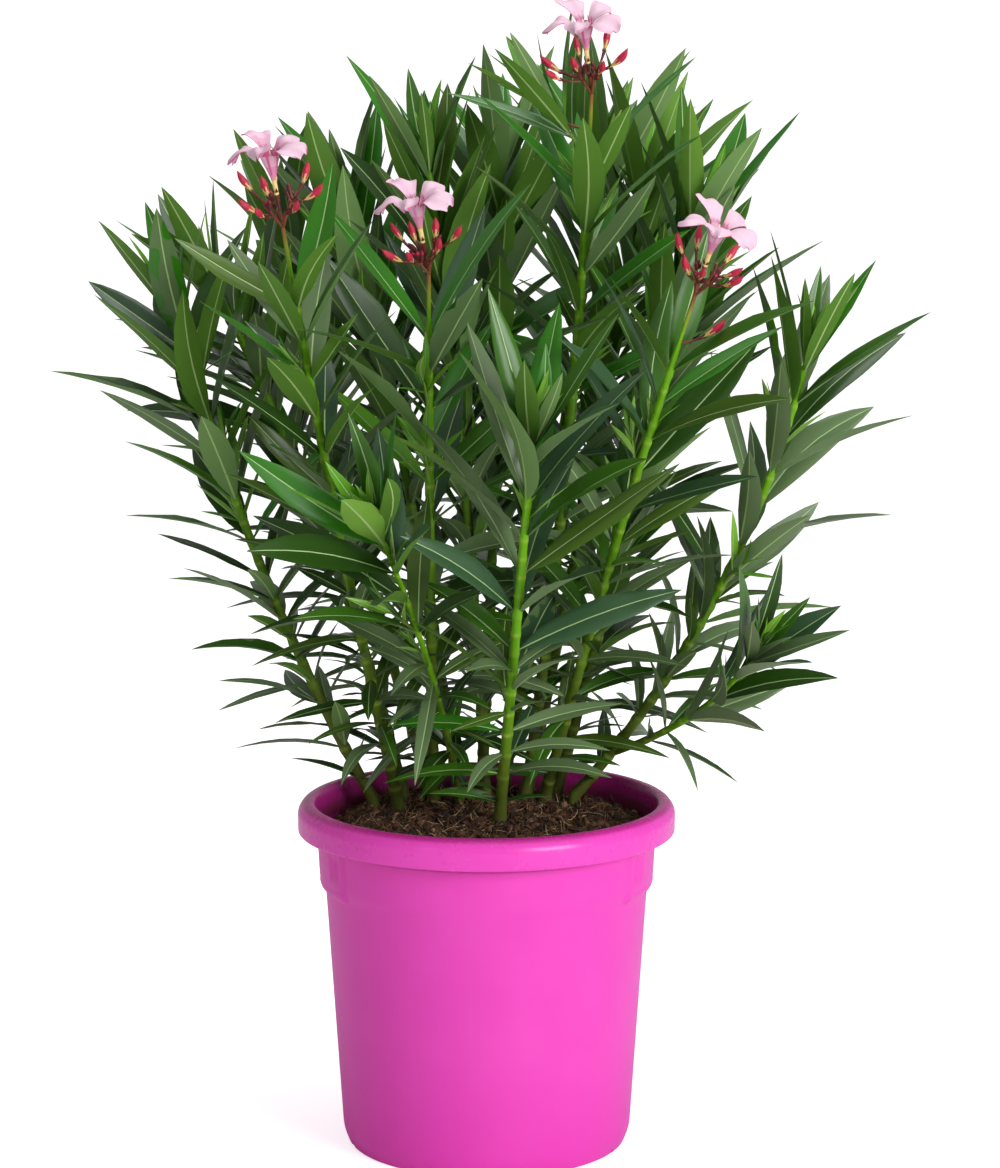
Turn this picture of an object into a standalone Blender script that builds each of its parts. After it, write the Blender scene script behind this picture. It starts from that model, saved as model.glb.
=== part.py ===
"""Potted oleander: a flowering shrub of seventeen canes in a round plastic pot.

Metres, +Z up. The origin is the middle of the pot's flat underside, and the
crown's best side faces -Y. Each cane is a bare limb that stands on the soil and
ends where its leaves begin. Above it one or two masses of foliage carry the same
curve on: a three-sided stem with whorls of three leaves fused to it, and, on the
flowering canes, a truss of buds round one open flower.
"""
import math
import random
from dataclasses import dataclass

import bmesh
import bpy
import numpy as np
from mathutils.bvhtree import BVHTree

GAP = 0.0003                # clearance between neighbouring pieces
SEED = 27

# Pot
POT_SIDES = 48
RIM_RADIUS = 0.1295
RIM_CREST_RADIUS = 0.1223
RIM_INNER_RADIUS = 0.1168
RIM_CREST = 0.2393          # height of the pot
RIM_FOOT = 0.2184           # lower edge of the rolled rim
COLLAR_TOP_RADIUS = 0.1150
COLLAR_FOOT_RADIUS = 0.1132
COLLAR_FOOT = 0.1870
BODY_TOP = 0.1800
BODY_TOP_RADIUS = 0.1106
BODY_FOOT_RADIUS = 0.0993
BODY_FOOT = 0.0120
FOOT_RADIUS = 0.0955
WALL = 0.0024
FLOOR = 0.0030
GRIP_STEPS = 9              # sides of the pot that a grip panel spans
GRIP_PROUD = 0.0014
DRAIN_HOLES = 4
DRAIN_RADIUS = 0.0055
DRAIN_CIRCLE = 0.058
NOTCHES = 8
NOTCH_WIDTH = 0.009
NOTCH_HEIGHT = 0.0035
NOTCH_DEPTH = 0.0090
DRILL_LENGTH = 0.02         # long enough to pass through the floor

# Soil
SOIL_TOP = 0.2275
SOIL_FLAT_RADIUS = 0.094
SOIL_EDGE_DROP = 0.0045
SOIL_SIDES = 24            # its corners line up with every second one of the pot's

# Canes
CANE_SIDES = 6
CANE_STEP = 0.045           # length of one straight piece of a limb
FLARE = 1.25                # swelling of a cane at the soil
FLARE_HEIGHT = 0.012

# Foliage
STEM_SIDES = 3
STEM_STEP = 0.060
WHORL = 3
INTERNODE_LOW = 0.034
INTERNODE_HIGH = 0.0245
LEAF_THICKNESS = 0.016      # of the leaf's length
LEAF_WIDEST = 0.50          # of the leaf's length, from its root
ROOT_DEPTH = 0.0006         # a leaf's root runs past the stem's middle by this
PETIOLE = 0.006             # the part of a leaf that is left out of the clearance tests
LEAF_CLEARANCE = 0.0006
LIMB_CLEARANCE = 0.0065     # kept by a leaf from the stems of other canes
TIP_TUFT = 2                # whorls of young leaves at a leafy tip
FRONT_CLOSING = 0.34        # how much closer to their stem leaves stand that face the front
FRONT_THINNING = 0.5        # share of the leaves facing straight ahead that are missing
BARE_END = 0.02             # foliage starts this share of the cane's length below its first whorl
SHOOT_START = 0.004         # a side shoot starts this far below the last whorl
SHOOT_LENGTH = 0.042
SHOOT_RADIUS = 0.0016
SHOOT_HEADING = (0.52, -0.10, 0.85)

# Blossom
PEDUNCLE = 0.046            # bare stalk between the last whorl and the truss
FLOWER_STALK = 0.022
FLOWER_TUBE = 0.028
FLOWER_THROAT = 0.0065
PETAL_LENGTH = 0.026
PETAL_WIDTH = 0.019
PETAL_THICKNESS = 0.0014
PETAL_WIDEST = 0.62         # of the petal's length, from its root
PETAL_ARCH = 0.003
PETAL_RISE = (0.004, 0.013)
PETALS = 5
BUDS = 7
BUD_REACH = 0.043
BUD_RADIUS = 0.0031
BUD_WIDEST = 0.74           # of the length of bud and stalk together


@dataclass(frozen=True)
class Cane:
    """One cane: foot on the soil, tip, sideways bow of its middle, and its dress."""
    foot: tuple                 # on the soil, or a branch's parent cane and how far up it
    tip: tuple
    bow: tuple = (0.0, 0.0, 0.0)
    girth: float = 0.0040       # radius at the foot
    leaf: float = 0.117         # length of its full-grown leaves
    bare: float = 0.22          # share of its length without leaves
    split: float = 0.58         # share of its length where the top mass begins, 1 for none
    ending: str = "leafy"       # leafy, bud or flower
    turn: float = 0.0           # degrees, azimuth of its first whorl
    nod: tuple = (0.0, 0.0)     # sideways lean of its flower
    shoots: int = 0             # side shoots under the truss
    open: float = 0.0           # degrees by which its leaves stand out more than usual
    seed: int = 0               # of its leaves' random draws


# The order is the order in which they claim their space.
CANES = {
    "d": Cane((0.009, -0.018), (0.030, -0.130, 0.501), seed=579, turn=80, leaf=0.132, open=6,
              girth=0.0042, bare=0.13),
    "b": Cane((-0.061, 0.033), (-0.131, -0.090, 0.638), (-0.007, 0.005, 0.0), seed=738, turn=10,
              leaf=0.102, open=8, bare=0.11, split=0.55, ending="flower", nod=(-0.16, -0.30)),
    "f": Cane((-0.037, 0.052), (-0.037, -0.075, 0.607), (-0.002, 0.004, 0.0), seed=32, turn=115,
              leaf=0.132, open=12, split=0.55, ending="flower", nod=(-0.18, -0.38), bare=0.14),
    "m": Cane((0.041, 0.060), (0.136, -0.090, 0.594), (-0.006, 0.006, 0.0), seed=1218, turn=100,
              leaf=0.119, open=6, bare=0.12, split=0.55, ending="flower", nod=(0.30, -0.50)),
    "l": Cane((0.027, 0.062), (0.070, -0.010, 0.722), (0.014, 0.003, 0.0), seed=309, turn=65,
              leaf=0.103, open=10, split=0.60, ending="flower", nod=(-0.14, -0.50), shoots=2,
              bare=0.14),
    "a": Cane((-0.078, 0.040), (-0.208, 0.020, 0.569), (-0.023, 0.0, -0.008), seed=1065, turn=45,
              leaf=0.113, open=2, bare=0.12),
    "j": Cane((0.060, 0.055), (0.215, 0.0, 0.539), (0.040, 0.004, -0.017), seed=1144, turn=50,
              leaf=0.12, open=-2, bare=0.16),
    "c": Cane((-0.019, 0.045), (-0.069, -0.120, 0.442), (0.013, 0.003, 0.0), seed=863, turn=85,
              leaf=0.114, open=4, girth=0.0026, bare=0.40, split=1.0),
    "k": Cane(("j", 0.118), (0.179, -0.030, 0.343), (0.020, 0.014, -0.014), seed=367, turn=95,
              leaf=0.114, open=-10, girth=0.0028, bare=0.20, split=1.0),
    "i": Cane((0.049, 0.073), (0.142, 0.050, 0.624), (0.006, 0.0, 0.0), seed=1634, turn=5,
              leaf=0.132, open=-4, bare=0.16),
    "o": Cane((-0.001, 0.061), (-0.039, 0.050, 0.666), (0.010, 0.0, 0.0), seed=1987, turn=30,
              leaf=0.116, open=-10, bare=0.14),
    "e": Cane((-0.058, 0.058), (-0.186, 0.070, 0.582), (0.024, 0.0, 0.0), seed=1057, turn=35,
              leaf=0.118, open=4),
    "g": Cane((-0.020, 0.074), (-0.096, 0.100, 0.634), (0.010, 0.0, 0.0), seed=1077, turn=30,
              leaf=0.118, open=-8, ending="bud"),
    "p": Cane((-0.004, 0.080), (0.009, 0.150, 0.660), (0.006, 0.0, 0.0), seed=168, turn=80,
              leaf=0.126, open=4, ending="bud"),
    "q": Cane((0.029, 0.082), (0.112, 0.140, 0.642), (0.002, 0.0, 0.0), seed=46, turn=115,
              leaf=0.124, open=4, bare=0.14, ending="bud"),
    "t": Cane((-0.040, 0.076), (-0.147, 0.190, 0.617), (-0.010, 0.020, 0.0), seed=1812, turn=60,
              leaf=0.107, open=4),
    "u": Cane((0.012, 0.087), (0.084, 0.220, 0.663), (0.004, 0.022, 0.0), seed=1300, turn=10,
              leaf=0.132, open=6),
}


# --- Scene and meshes -------------------------------------------------------

def clear_scene():
    for thing in list(bpy.data.objects):
        bpy.data.objects.remove(thing, do_unlink=True)


def plain_material(name, colour, roughness, metallic=0.0):
    material = bpy.data.materials.new(name)
    material.use_nodes = True
    shader = material.node_tree.nodes["Principled BSDF"]
    shader.inputs["Base Color"].default_value = (*colour, 1.0)
    shader.inputs["Roughness"].default_value = roughness
    shader.inputs["Metallic"].default_value = metallic
    return material


def add_object(name, points, faces, material=None):
    mesh = bpy.data.meshes.new(name)
    mesh.from_pydata([tuple(point) for point in points], [], faces)
    mesh.update()
    thing = bpy.data.objects.new(name, mesh)
    bpy.context.scene.collection.objects.link(thing)
    if material:
        mesh.materials.append(material)
    return thing


def smooth(thing, angle=40.0):
    thing.data.shade_smooth()
    thing.data.set_sharp_from_angle(angle=math.radians(angle))


def boolean(thing, operation, cutters, solver="EXACT"):
    """Cut or join a group of pieces with one applied Boolean, then drop the group."""
    group = bpy.data.collections.new(thing.name + "_group")
    bpy.context.scene.collection.children.link(group)
    for cutter in cutters:
        for home in list(cutter.users_collection):
            home.objects.unlink(cutter)
        group.objects.link(cutter)
        cutter.hide_render = True
        cutter.display_type = "WIRE"
    modifier = thing.modifiers.new("join", "BOOLEAN")
    modifier.operation = operation
    modifier.operand_type = "COLLECTION"
    modifier.collection = group
    modifier.solver = solver
    graph = bpy.context.evaluated_depsgraph_get()
    finished = bpy.data.meshes.new_from_object(thing.evaluated_get(graph))
    thing.modifiers.remove(modifier)
    thing.data = finished
    for cutter in cutters:
        bpy.data.objects.remove(cutter, do_unlink=True)
    bpy.data.collections.remove(group)


def keep_largest_shell(thing):
    """Drop loose scraps and any shell that the union sealed inside."""
    model = bmesh.new()
    model.from_mesh(thing.data)
    seen = set()
    shells = []
    for start in model.verts:
        if start in seen:
            continue
        shell = {start}
        queue = [start]
        while queue:
            for edge in queue.pop().link_edges:
                for vert in edge.verts:
                    if vert not in shell:
                        shell.add(vert)
                        queue.append(vert)
        seen |= shell
        shells.append(shell)
    shells.sort(key=len)
    for shell in shells[:-1]:
        bmesh.ops.delete(model, geom=list(shell), context="VERTS")
    bmesh.ops.triangulate(model, faces=model.faces)
    model.to_mesh(thing.data)
    model.free()


# --- Pot and soil -----------------------------------------------------------

def wall_radius(height):
    """Outer radius of the pot's wall between the rounded foot and the rim."""
    if height >= COLLAR_FOOT:
        share = (height - COLLAR_FOOT) / (RIM_FOOT - COLLAR_FOOT)
        return COLLAR_FOOT_RADIUS + share * (COLLAR_TOP_RADIUS - COLLAR_FOOT_RADIUS)
    share = (height - BODY_FOOT) / (BODY_TOP - BODY_FOOT)
    return BODY_FOOT_RADIUS + share * (BODY_TOP_RADIUS - BODY_FOOT_RADIUS)


def pot_profile():
    """Half section of the pot as (radius, height), from the underside round to the floor."""
    rim_height = RIM_CREST - RIM_FOOT
    outside = [
        (FOOT_RADIUS, 0.0),
        (BODY_FOOT_RADIUS - 0.0012, 0.0045),
        (BODY_FOOT_RADIUS, BODY_FOOT),
        (BODY_TOP_RADIUS, BODY_TOP),
        (COLLAR_FOOT_RADIUS, COLLAR_FOOT),
        (COLLAR_TOP_RADIUS, RIM_FOOT + 0.002),
        (RIM_RADIUS - 0.0022, RIM_FOOT),
        (RIM_RADIUS, RIM_FOOT + 0.0030),
        (RIM_RADIUS, RIM_CREST - 0.38 * rim_height),
        (RIM_RADIUS - 0.0022, RIM_CREST - 0.12 * rim_height),
        (RIM_CREST_RADIUS, RIM_CREST),
        (RIM_INNER_RADIUS + 0.0012, RIM_CREST - 0.0014),
        (RIM_INNER_RADIUS, RIM_CREST - 0.0040),
    ]
    inside = [
        (COLLAR_FOOT_RADIUS - WALL, COLLAR_FOOT - 0.001),
        (BODY_TOP_RADIUS - WALL, BODY_TOP - 0.001),
        (BODY_FOOT_RADIUS - WALL, BODY_FOOT),
        (FOOT_RADIUS - WALL - 0.001, FLOOR),
    ]
    return outside + inside


def revolve(name, profile, sides, material):
    """Turn a half section round Z and close it with a disc at each end."""
    count = len(profile)
    points = []
    for step in range(sides):
        angle = 2.0 * math.pi * step / sides
        points += [(r * math.cos(angle), r * math.sin(angle), z) for r, z in profile]
    faces = []
    for step in range(sides):
        here = step * count
        there = ((step + 1) % sides) * count
        for k in range(count - 1):
            faces.append((here + k, there + k, there + k + 1, here + k + 1))
    faces.append([step * count for step in reversed(range(sides))])
    faces.append([step * count + count - 1 for step in range(sides)])
    return add_object(name, points, faces, material)


def grip_panel(side):
    """A shallow raised panel on the collar, to the pot's left or right."""
    top = RIM_FOOT - 0.0030
    foot = COLLAR_FOOT + 0.0030
    middle = 0.0 if side > 0 else math.pi
    points = []
    for step in range(GRIP_STEPS + 1):
        angle = middle + 2.0 * math.pi * (step - GRIP_STEPS / 2) / POT_SIDES
        for height in (foot, top):
            for depth in (-0.0012, GRIP_PROUD):
                radius = wall_radius(height) + depth
                points.append((radius * math.cos(angle), radius * math.sin(angle), height))
    faces = []
    for step in range(GRIP_STEPS):
        a = 4 * step
        b = a + 4
        faces += [(a + 1, b + 1, b + 3, a + 3), (a + 2, b + 2, b, a),
                  (a, b, b + 1, a + 1), (a + 3, b + 3, b + 2, a + 2)]
    end = 4 * GRIP_STEPS
    faces += [(0, 1, 3, 2), (end + 2, end + 3, end + 1, end)]
    return add_object("grip", points, faces)


def drain_cutters():
    """Round holes through the floor, and notches under the edge of the foot."""
    cutters = []
    for k in range(DRAIN_HOLES):
        angle = 2.0 * math.pi * (k + 0.5) / DRAIN_HOLES
        centre = (DRAIN_CIRCLE * math.cos(angle), DRAIN_CIRCLE * math.sin(angle), FLOOR / 2)
        bpy.ops.mesh.primitive_cylinder_add(vertices=8, radius=DRAIN_RADIUS, depth=DRILL_LENGTH,
                                            location=centre)
        cutters.append(bpy.context.object)
    for k in range(NOTCHES):
        angle = 2.0 * math.pi * (k + 0.37) / NOTCHES
        centre = (BODY_FOOT_RADIUS * math.cos(angle), BODY_FOOT_RADIUS * math.sin(angle), 0.0)
        bpy.ops.mesh.primitive_cube_add(size=1.0, location=centre, rotation=(0, 0, angle))
        cutter = bpy.context.object
        cutter.scale = (NOTCH_DEPTH, NOTCH_WIDTH, 2.0 * NOTCH_HEIGHT)
        cutters.append(cutter)
    return cutters


def make_pot():
    plastic = plain_material("pot_plastic", (0.80, 0.07, 0.46), 0.38)
    pot = revolve("pot", pot_profile(), POT_SIDES, plastic)
    boolean(pot, "UNION", [grip_panel(-1), grip_panel(1)])
    boolean(pot, "DIFFERENCE", drain_cutters())
    smooth(pot)


def make_soil():
    """The potting soil: it fills the pot to just below the rim, a little lower at the wall."""
    clear = WALL + GAP
    profile = [
        (FOOT_RADIUS - clear - 0.0014, FLOOR + GAP),
        (BODY_FOOT_RADIUS - clear - 0.0004, BODY_FOOT + GAP),
        (BODY_TOP_RADIUS - clear - 0.0004, BODY_TOP - 0.001),
        (COLLAR_FOOT_RADIUS - clear - 0.0010, COLLAR_FOOT),
        (COLLAR_FOOT_RADIUS - clear - 0.0002, SOIL_TOP - SOIL_EDGE_DROP),
        (SOIL_FLAT_RADIUS, SOIL_TOP),
    ]
    peat = plain_material("soil_peat", (0.035, 0.017, 0.009), 0.95)
    soil = revolve("soil", profile, SOIL_SIDES, peat)
    smooth(soil, 60.0)


# --- Shapes of the plant ----------------------------------------------------

def unit(vector):
    return vector / np.linalg.norm(vector)


def is_branch(name):
    return isinstance(CANES[name].foot[0], str)


def foot_point(name):
    """Where a cane's axis starts: on the soil, or in the middle of its parent cane."""
    if is_branch(name):
        return axis_point(*CANES[name].foot)
    return np.array([*CANES[name].foot, SOIL_TOP + GAP])


def axis_point(name, share):
    """A point on a cane's axis: a parabola from foot to tip, its middle swung out by the bow."""
    cane = CANES[name]
    foot = foot_point(name)
    tip = np.array(cane.tip)
    middle = (foot + tip) / 2 + np.array(cane.bow)
    return (1 - share) ** 2 * foot + 2 * share * (1 - share) * middle + share ** 2 * tip


def axis_direction(name, share):
    step = 0.002
    return unit(axis_point(name, min(share + step, 1.0)) - axis_point(name, max(share - step, 0.0)))


def axis_length(name):
    shares = np.linspace(0.0, 1.0, 33)
    points = np.array([axis_point(name, share) for share in shares])
    return float(np.linalg.norm(np.diff(points, axis=0), axis=1).sum())


def limb_radius(name, share):
    """A cane tapers evenly to just over half its girth, and a flower's stalk is thinner still."""
    cane = CANES[name]
    radius = cane.girth * (1.0 - 0.42 * share)
    if cane.ending == "flower":
        last = 1.0 - PEDUNCLE / axis_length(name)
        if share > last:
            radius *= 0.62
    return radius


def cross_axes(direction):
    """Two unit vectors square to a direction, the first as near to +X as it can be."""
    across = np.array([1.0, 0.0, 0.0])
    first = unit(across - across.dot(direction) * direction)
    return first, np.cross(direction, first)


def tube(rings, sides):
    """Points and faces of a closed tube through (centre, direction, radius) rings."""
    points = []
    for centre, direction, radius in rings:
        first, second = cross_axes(direction)
        for k in range(sides):
            angle = 2.0 * math.pi * k / sides
            points.append(centre + radius * (math.cos(angle) * first + math.sin(angle) * second))
    faces = []
    for ring in range(len(rings) - 1):
        for k in range(sides):
            a = ring * sides + k
            b = ring * sides + (k + 1) % sides
            faces.append((a, b, b + sides, a + sides))
    faces.append(list(reversed(range(sides))))
    faces.append([(len(rings) - 1) * sides + k for k in range(sides)])
    return points, faces


def spindle(root, tip, side, thick, middle):
    """A leaf, petal or bud: root, four corners round its middle, tip; eight faces.

    `side` and `thick` are half its width and half its thickness, as vectors.
    """
    points = [root, middle - side, middle + thick, middle + side, middle - thick, tip]
    faces = []
    for k in range(4):
        here = 1 + k
        there = 1 + (k + 1) % 4
        faces += [(0, there, here), (5, here, there)]
    return points, faces


def outward(points, faces):
    """The same faces, all turned over together if they enclose a negative volume."""
    volume = 0.0
    for face in faces:
        for k in range(1, len(face) - 1):
            volume += points[face[0]].dot(np.cross(points[face[k]], points[face[k + 1]]))
    return faces if volume > 0 else [tuple(reversed(face)) for face in faces]


# --- Growth rule ------------------------------------------------------------

class Space:
    """What has been grown so far, and the test that a new leaf keeps clear of it."""

    def __init__(self):
        self.trees = []
        self.centres = []
        self.reaches = []
        self.limbs = {}

    def add_limb(self, name):
        shares = np.linspace(0.0, 1.0, 15)
        rings = [(axis_point(name, s), axis_direction(name, s),
                  limb_radius(name, s) + LIMB_CLEARANCE) for s in shares]
        self.limbs[name] = BVHTree.FromPolygons(*tube(rings, 8))

    def add(self, points, faces):
        centre = np.mean(points, axis=0)
        self.trees.append(BVHTree.FromPolygons([tuple(p) for p in points], faces))
        self.centres.append(centre)
        self.reaches.append(max(np.linalg.norm(p - centre) for p in points))

    def is_free(self, name, points, faces):
        tree = BVHTree.FromPolygons([tuple(p) for p in points], faces)
        for other, limb in self.limbs.items():
            if other != name and tree.overlap(limb):
                return False
        if not self.trees:
            return True
        centre = np.mean(points, axis=0)
        reach = max(np.linalg.norm(p - centre) for p in points)
        apart = np.linalg.norm(np.array(self.centres) - centre, axis=1)
        near = np.nonzero(apart < np.array(self.reaches) + reach)[0]
        return not any(tree.overlap(self.trees[k]) for k in near)


def leaf_frame(direction, azimuth, spread, twist):
    """A leaf's own axes on a stem: along, across and out of its upper face."""
    first, second = cross_axes(direction)
    radial = math.cos(azimuth) * first + math.sin(azimuth) * second
    along = math.cos(spread) * direction + math.sin(spread) * radial
    face = math.sin(spread) * direction - math.cos(spread) * radial
    across = np.cross(along, face)
    turned = math.cos(twist) * across + math.sin(twist) * face
    return along, turned, np.cross(turned, along)


def leaf_corners(leaf):
    """Root, middle, half width, half thickness and tip of a bent and sagging leaf."""
    point, along, across, face, length, width, bend, sag = leaf

    def centre(share):
        drop = np.array([0.0, 0.0, -sag * length * share ** 2])
        return point + along * length * share - face * bend * length * share ** 2 + drop

    root = point - along * ROOT_DEPTH
    thick = face * LEAF_THICKNESS * length / 2
    return root, centre(LEAF_WIDEST), across * width / 2, thick, centre(1.0)


def leaf_solid(leaf):
    root, middle, half, thick, tip = leaf_corners(leaf)
    return spindle(root, tip, half, thick, middle)


def leaf_sleeve(leaf, clearance):
    """The blade without its petiole, as a solid that is `clearance` larger all round."""
    root, middle, half, thick, tip = leaf_corners(leaf)
    length = np.linalg.norm(middle - root)
    cut = PETIOLE / length
    sides = [unit(half), unit(thick)]
    points = []
    for share in (cut, 1.0):
        centre = root + (middle - root) * share
        for sign in (-1, 1):
            for size, way in zip((half, thick), sides):
                points.append(centre + sign * (size * share + way * clearance))
    points.append(tip + unit(tip - middle) * clearance)
    ring = (0, 1, 2, 3)
    faces = [tuple(reversed(ring))]
    for k in ring:
        after = (k + 1) % 4
        faces += [(k, after, after + 4, k + 4), (k + 4, after + 4, 8)]
    return points, faces


def between(low, high, share):
    return low + (high - low) * min(max(share, 0.0), 1.0)


def leaf_habit(cane, share, rng):
    """Length, width, spread, bend and sag of a leaf `share` of the way up the leafy part."""
    grown = between(0.64, 1.0, share / 0.75) * between(1.0, 0.92, (share - 0.80) / 0.20)
    length = cane.leaf * grown * rng.uniform(0.86, 1.12)
    width = length * between(0.20, 0.26, share / 0.6) * rng.uniform(0.90, 1.08)
    opening = between(62.0, 44.0, share / 0.45) - between(0.0, 16.0, (share - 0.5) / 0.5)
    stray = between(22.0, 12.0, share / 0.6) * rng.uniform(-1.0, 1.0)
    spread = math.radians(opening + cane.open + stray)
    bend = between(0.16, 0.07, share) * rng.uniform(0.4, 1.5)
    sag = between(0.14, 0.02, share) * rng.uniform(0.5, 1.5)
    return length, width, spread, bend, sag


def try_leaf(space, name, point, direction, azimuth, habit, rng):
    """Place one leaf, turned aside or shortened a little where it would touch something."""
    length, width, spread, bend, sag = habit
    twist = math.radians(rng.uniform(-24.0, 24.0))
    for aside, rise, cut in ((0, 0, 1), (14, 0, 1), (-14, 0, 1), (0, 9, 1), (0, -9, 1),
                             (26, 5, 0.9), (-26, 5, 0.9), (10, -12, 0.85), (-10, 14, 0.85)):
        frame = leaf_frame(direction, azimuth + math.radians(aside),
                           max(spread + math.radians(rise), math.radians(14)), twist)
        leaf = (point, *frame, length * cut, width * cut, bend, sag)
        points, faces = leaf_sleeve(leaf, LEAF_CLEARANCE)
        if min(p[2] for p in points) > RIM_CREST + 0.002 and space.is_free(name, points, faces):
            space.add(*leaf_sleeve(leaf, 0.0))
            return leaf
    return None


def whorl_shares(name):
    """Shares of a cane's length where its whorls sit: closer together towards the tip."""
    cane = CANES[name]
    length = axis_length(name)
    last = 1.0 - (PEDUNCLE / length if cane.ending == "flower" else 0.012 / length)
    shares = []
    share = cane.bare
    while share < last:
        shares.append(share)
        progress = (share - cane.bare) / (last - cane.bare)
        share += between(INTERNODE_LOW, INTERNODE_HIGH, progress) / length
    return shares, last


def mass_cut(name):
    """The share of a cane's length, halfway between two whorls, where its top mass begins."""
    shares, _ = whorl_shares(name)
    above = next(k for k, share in enumerate(shares) if share > CANES[name].split)
    return (shares[above - 1] + shares[above]) / 2


def facing_front(direction, azimuth):
    """1 for a leaf that grows straight towards the crown's best side, 0 from sideways on."""
    first, second = cross_axes(direction)
    radial = math.cos(azimuth) * first + math.sin(azimuth) * second
    return max(0.0, -radial[1])


def grow_whorls(space, name, rng):
    """All the leaves of one cane, as (share of its length, leaf)."""
    cane = CANES[name]
    shares, last = whorl_shares(name)
    leaves = []
    azimuth = math.radians(cane.turn)
    for share in shares:
        progress = (share - cane.bare) / (last - cane.bare)
        point = axis_point(name, share)
        direction = axis_direction(name, share)
        for k in range(WHORL):
            habit = leaf_habit(cane, progress, rng)
            around = azimuth + 2.0 * math.pi * k / WHORL + math.radians(rng.uniform(-12, 12))
            ahead = facing_front(direction, around)
            if rng.random() < FRONT_THINNING and ahead > 0.85:
                continue
            habit = (*habit[:2], habit[2] * (1.0 - FRONT_CLOSING * ahead), *habit[3:])
            leaf = try_leaf(space, name, point, direction, around, habit, rng)
            if leaf:
                leaves.append((share, leaf))
        azimuth += math.radians(60.0 + rng.uniform(-6, 6))
    if cane.ending != "flower":
        leaves += grow_tuft(space, name, last, azimuth, rng)
    return leaves


def grow_tuft(space, name, last, azimuth, rng):
    """Young upright leaves round a growing tip."""
    cane = CANES[name]
    leaves = []
    for ring in range(TIP_TUFT):
        share = between(last, 1.0, (ring + 1) / (TIP_TUFT + 1))
        point = axis_point(name, share)
        direction = axis_direction(name, share)
        for k in range(WHORL):
            length = cane.leaf * between(0.80, 0.55, ring) * rng.uniform(0.9, 1.1)
            habit = (length, length * 0.21, math.radians(between(24, 15, ring)), 0.06, 0.0)
            around = azimuth + 2.0 * math.pi * k / WHORL
            leaf = try_leaf(space, name, point, direction, around, habit, rng)
            if leaf:
                leaves.append((share, leaf))
        azimuth += math.radians(60.0)
    return leaves


def shoot_rings(name, side):
    """A short side shoot that leaves the cane just under its truss."""
    share = 1.0 - (PEDUNCLE + SHOOT_START) / axis_length(name)
    start = axis_point(name, share)
    out, ahead, up = SHOOT_HEADING
    heading = unit(np.array([out * side, ahead * side, up]))
    return [(start + heading * run, heading, SHOOT_RADIUS) for run in (0.0, SHOOT_LENGTH / 2, SHOOT_LENGTH)]


def grow_shoots(space, name, rng):
    """Leaves of the side shoots: two small whorls and a tuft on each."""
    leaves = []
    cane = CANES[name]
    for side in range(-1, cane.shoots - 1, 2) if cane.shoots else ():
        rings = shoot_rings(name, side)
        start, heading, _ = rings[0]
        for ring, run in enumerate((0.020, 0.031, 0.040)):
            for k in range(WHORL):
                length = cane.leaf * between(1.0, 0.60, ring / 2) * rng.uniform(0.9, 1.1)
                spread = math.radians(between(38, 16, ring / 2))
                habit = (length, length * 0.20, spread, 0.06, 0.01)
                around = math.radians(60.0 * ring + 120.0 * k + 30.0)
                leaf = try_leaf(space, name, start + heading * run, heading, around, habit, rng)
                if leaf:
                    leaves.append((1.0, leaf))
    return leaves


# --- Blossom ----------------------------------------------------------------

def flower_axis(name):
    return unit(np.array([*CANES[name].nod, 1.0]))


def flower_parts(name):
    """One open flower: a funnel on its stalk and five petals sunk in the throat."""
    base = axis_point(name, 1.0) - axis_direction(name, 1.0) * 0.002
    along = flower_axis(name)
    throat = base + along * (FLOWER_STALK + FLOWER_TUBE)
    rings = [(base, along, 0.0012), (base + along * FLOWER_STALK, along, 0.0018),
             (throat, along, FLOWER_THROAT)]
    parts = [tube(rings, PETALS)]
    first, second = cross_axes(along)
    for k in range(PETALS):
        angle = 2.0 * math.pi * (k + 0.5) / PETALS
        radial = math.cos(angle) * first + math.sin(angle) * second
        root = throat - along * 0.003 + radial * 0.001
        tip = throat + radial * PETAL_LENGTH + along * PETAL_RISE[k % 2]
        across = np.cross(along, radial) * PETAL_WIDTH / 2
        middle = root + (tip - root) * PETAL_WIDEST + along * PETAL_ARCH
        parts.append(spindle(root, tip, across, along * PETAL_THICKNESS / 2, middle))
    return parts


def bud_parts(name, count, reach, rng):
    """Buds on thin stalks, fanned round the end of a cane."""
    base = axis_point(name, 1.0) - axis_direction(name, 1.0) * 0.003
    along = flower_axis(name)
    first, second = cross_axes(along)
    parts = []
    for k in range(count):
        angle = 2.0 * math.pi * (k + rng.uniform(-0.2, 0.2)) / count
        lean = math.radians(rng.uniform(30.0, 52.0)) if count > 1 else 0.1
        radial = math.cos(angle) * first + math.sin(angle) * second
        heading = math.cos(lean) * along + math.sin(lean) * radial
        tip = base + heading * reach * rng.uniform(0.85, 1.12)
        side, thick = cross_axes(heading)
        middle = base + (tip - base) * BUD_WIDEST
        parts.append(spindle(base, tip, side * BUD_RADIUS, thick * BUD_RADIUS, middle))
    return parts


def blossom_parts(name, rng):
    ending = CANES[name].ending
    if ending == "flower":
        return flower_parts(name) + bud_parts(name, BUDS, BUD_REACH, rng)
    if ending == "bud":
        return bud_parts(name, 1, 0.6 * BUD_REACH, rng)
    return []


# --- Limbs and masses -------------------------------------------------------

def limb_rings(name, low, high, step):
    """Rings along a cane between two shares of its length, `GAP` short of the upper one."""
    length = axis_length(name)
    top = high - GAP / length if high < 1.0 else 1.0
    count = max(2, round((top - low) * length / step) + 1)
    rings = []
    for share in np.linspace(low, top, count):
        rings.append((axis_point(name, share), axis_direction(name, share), limb_radius(name, share)))
    return rings


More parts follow.
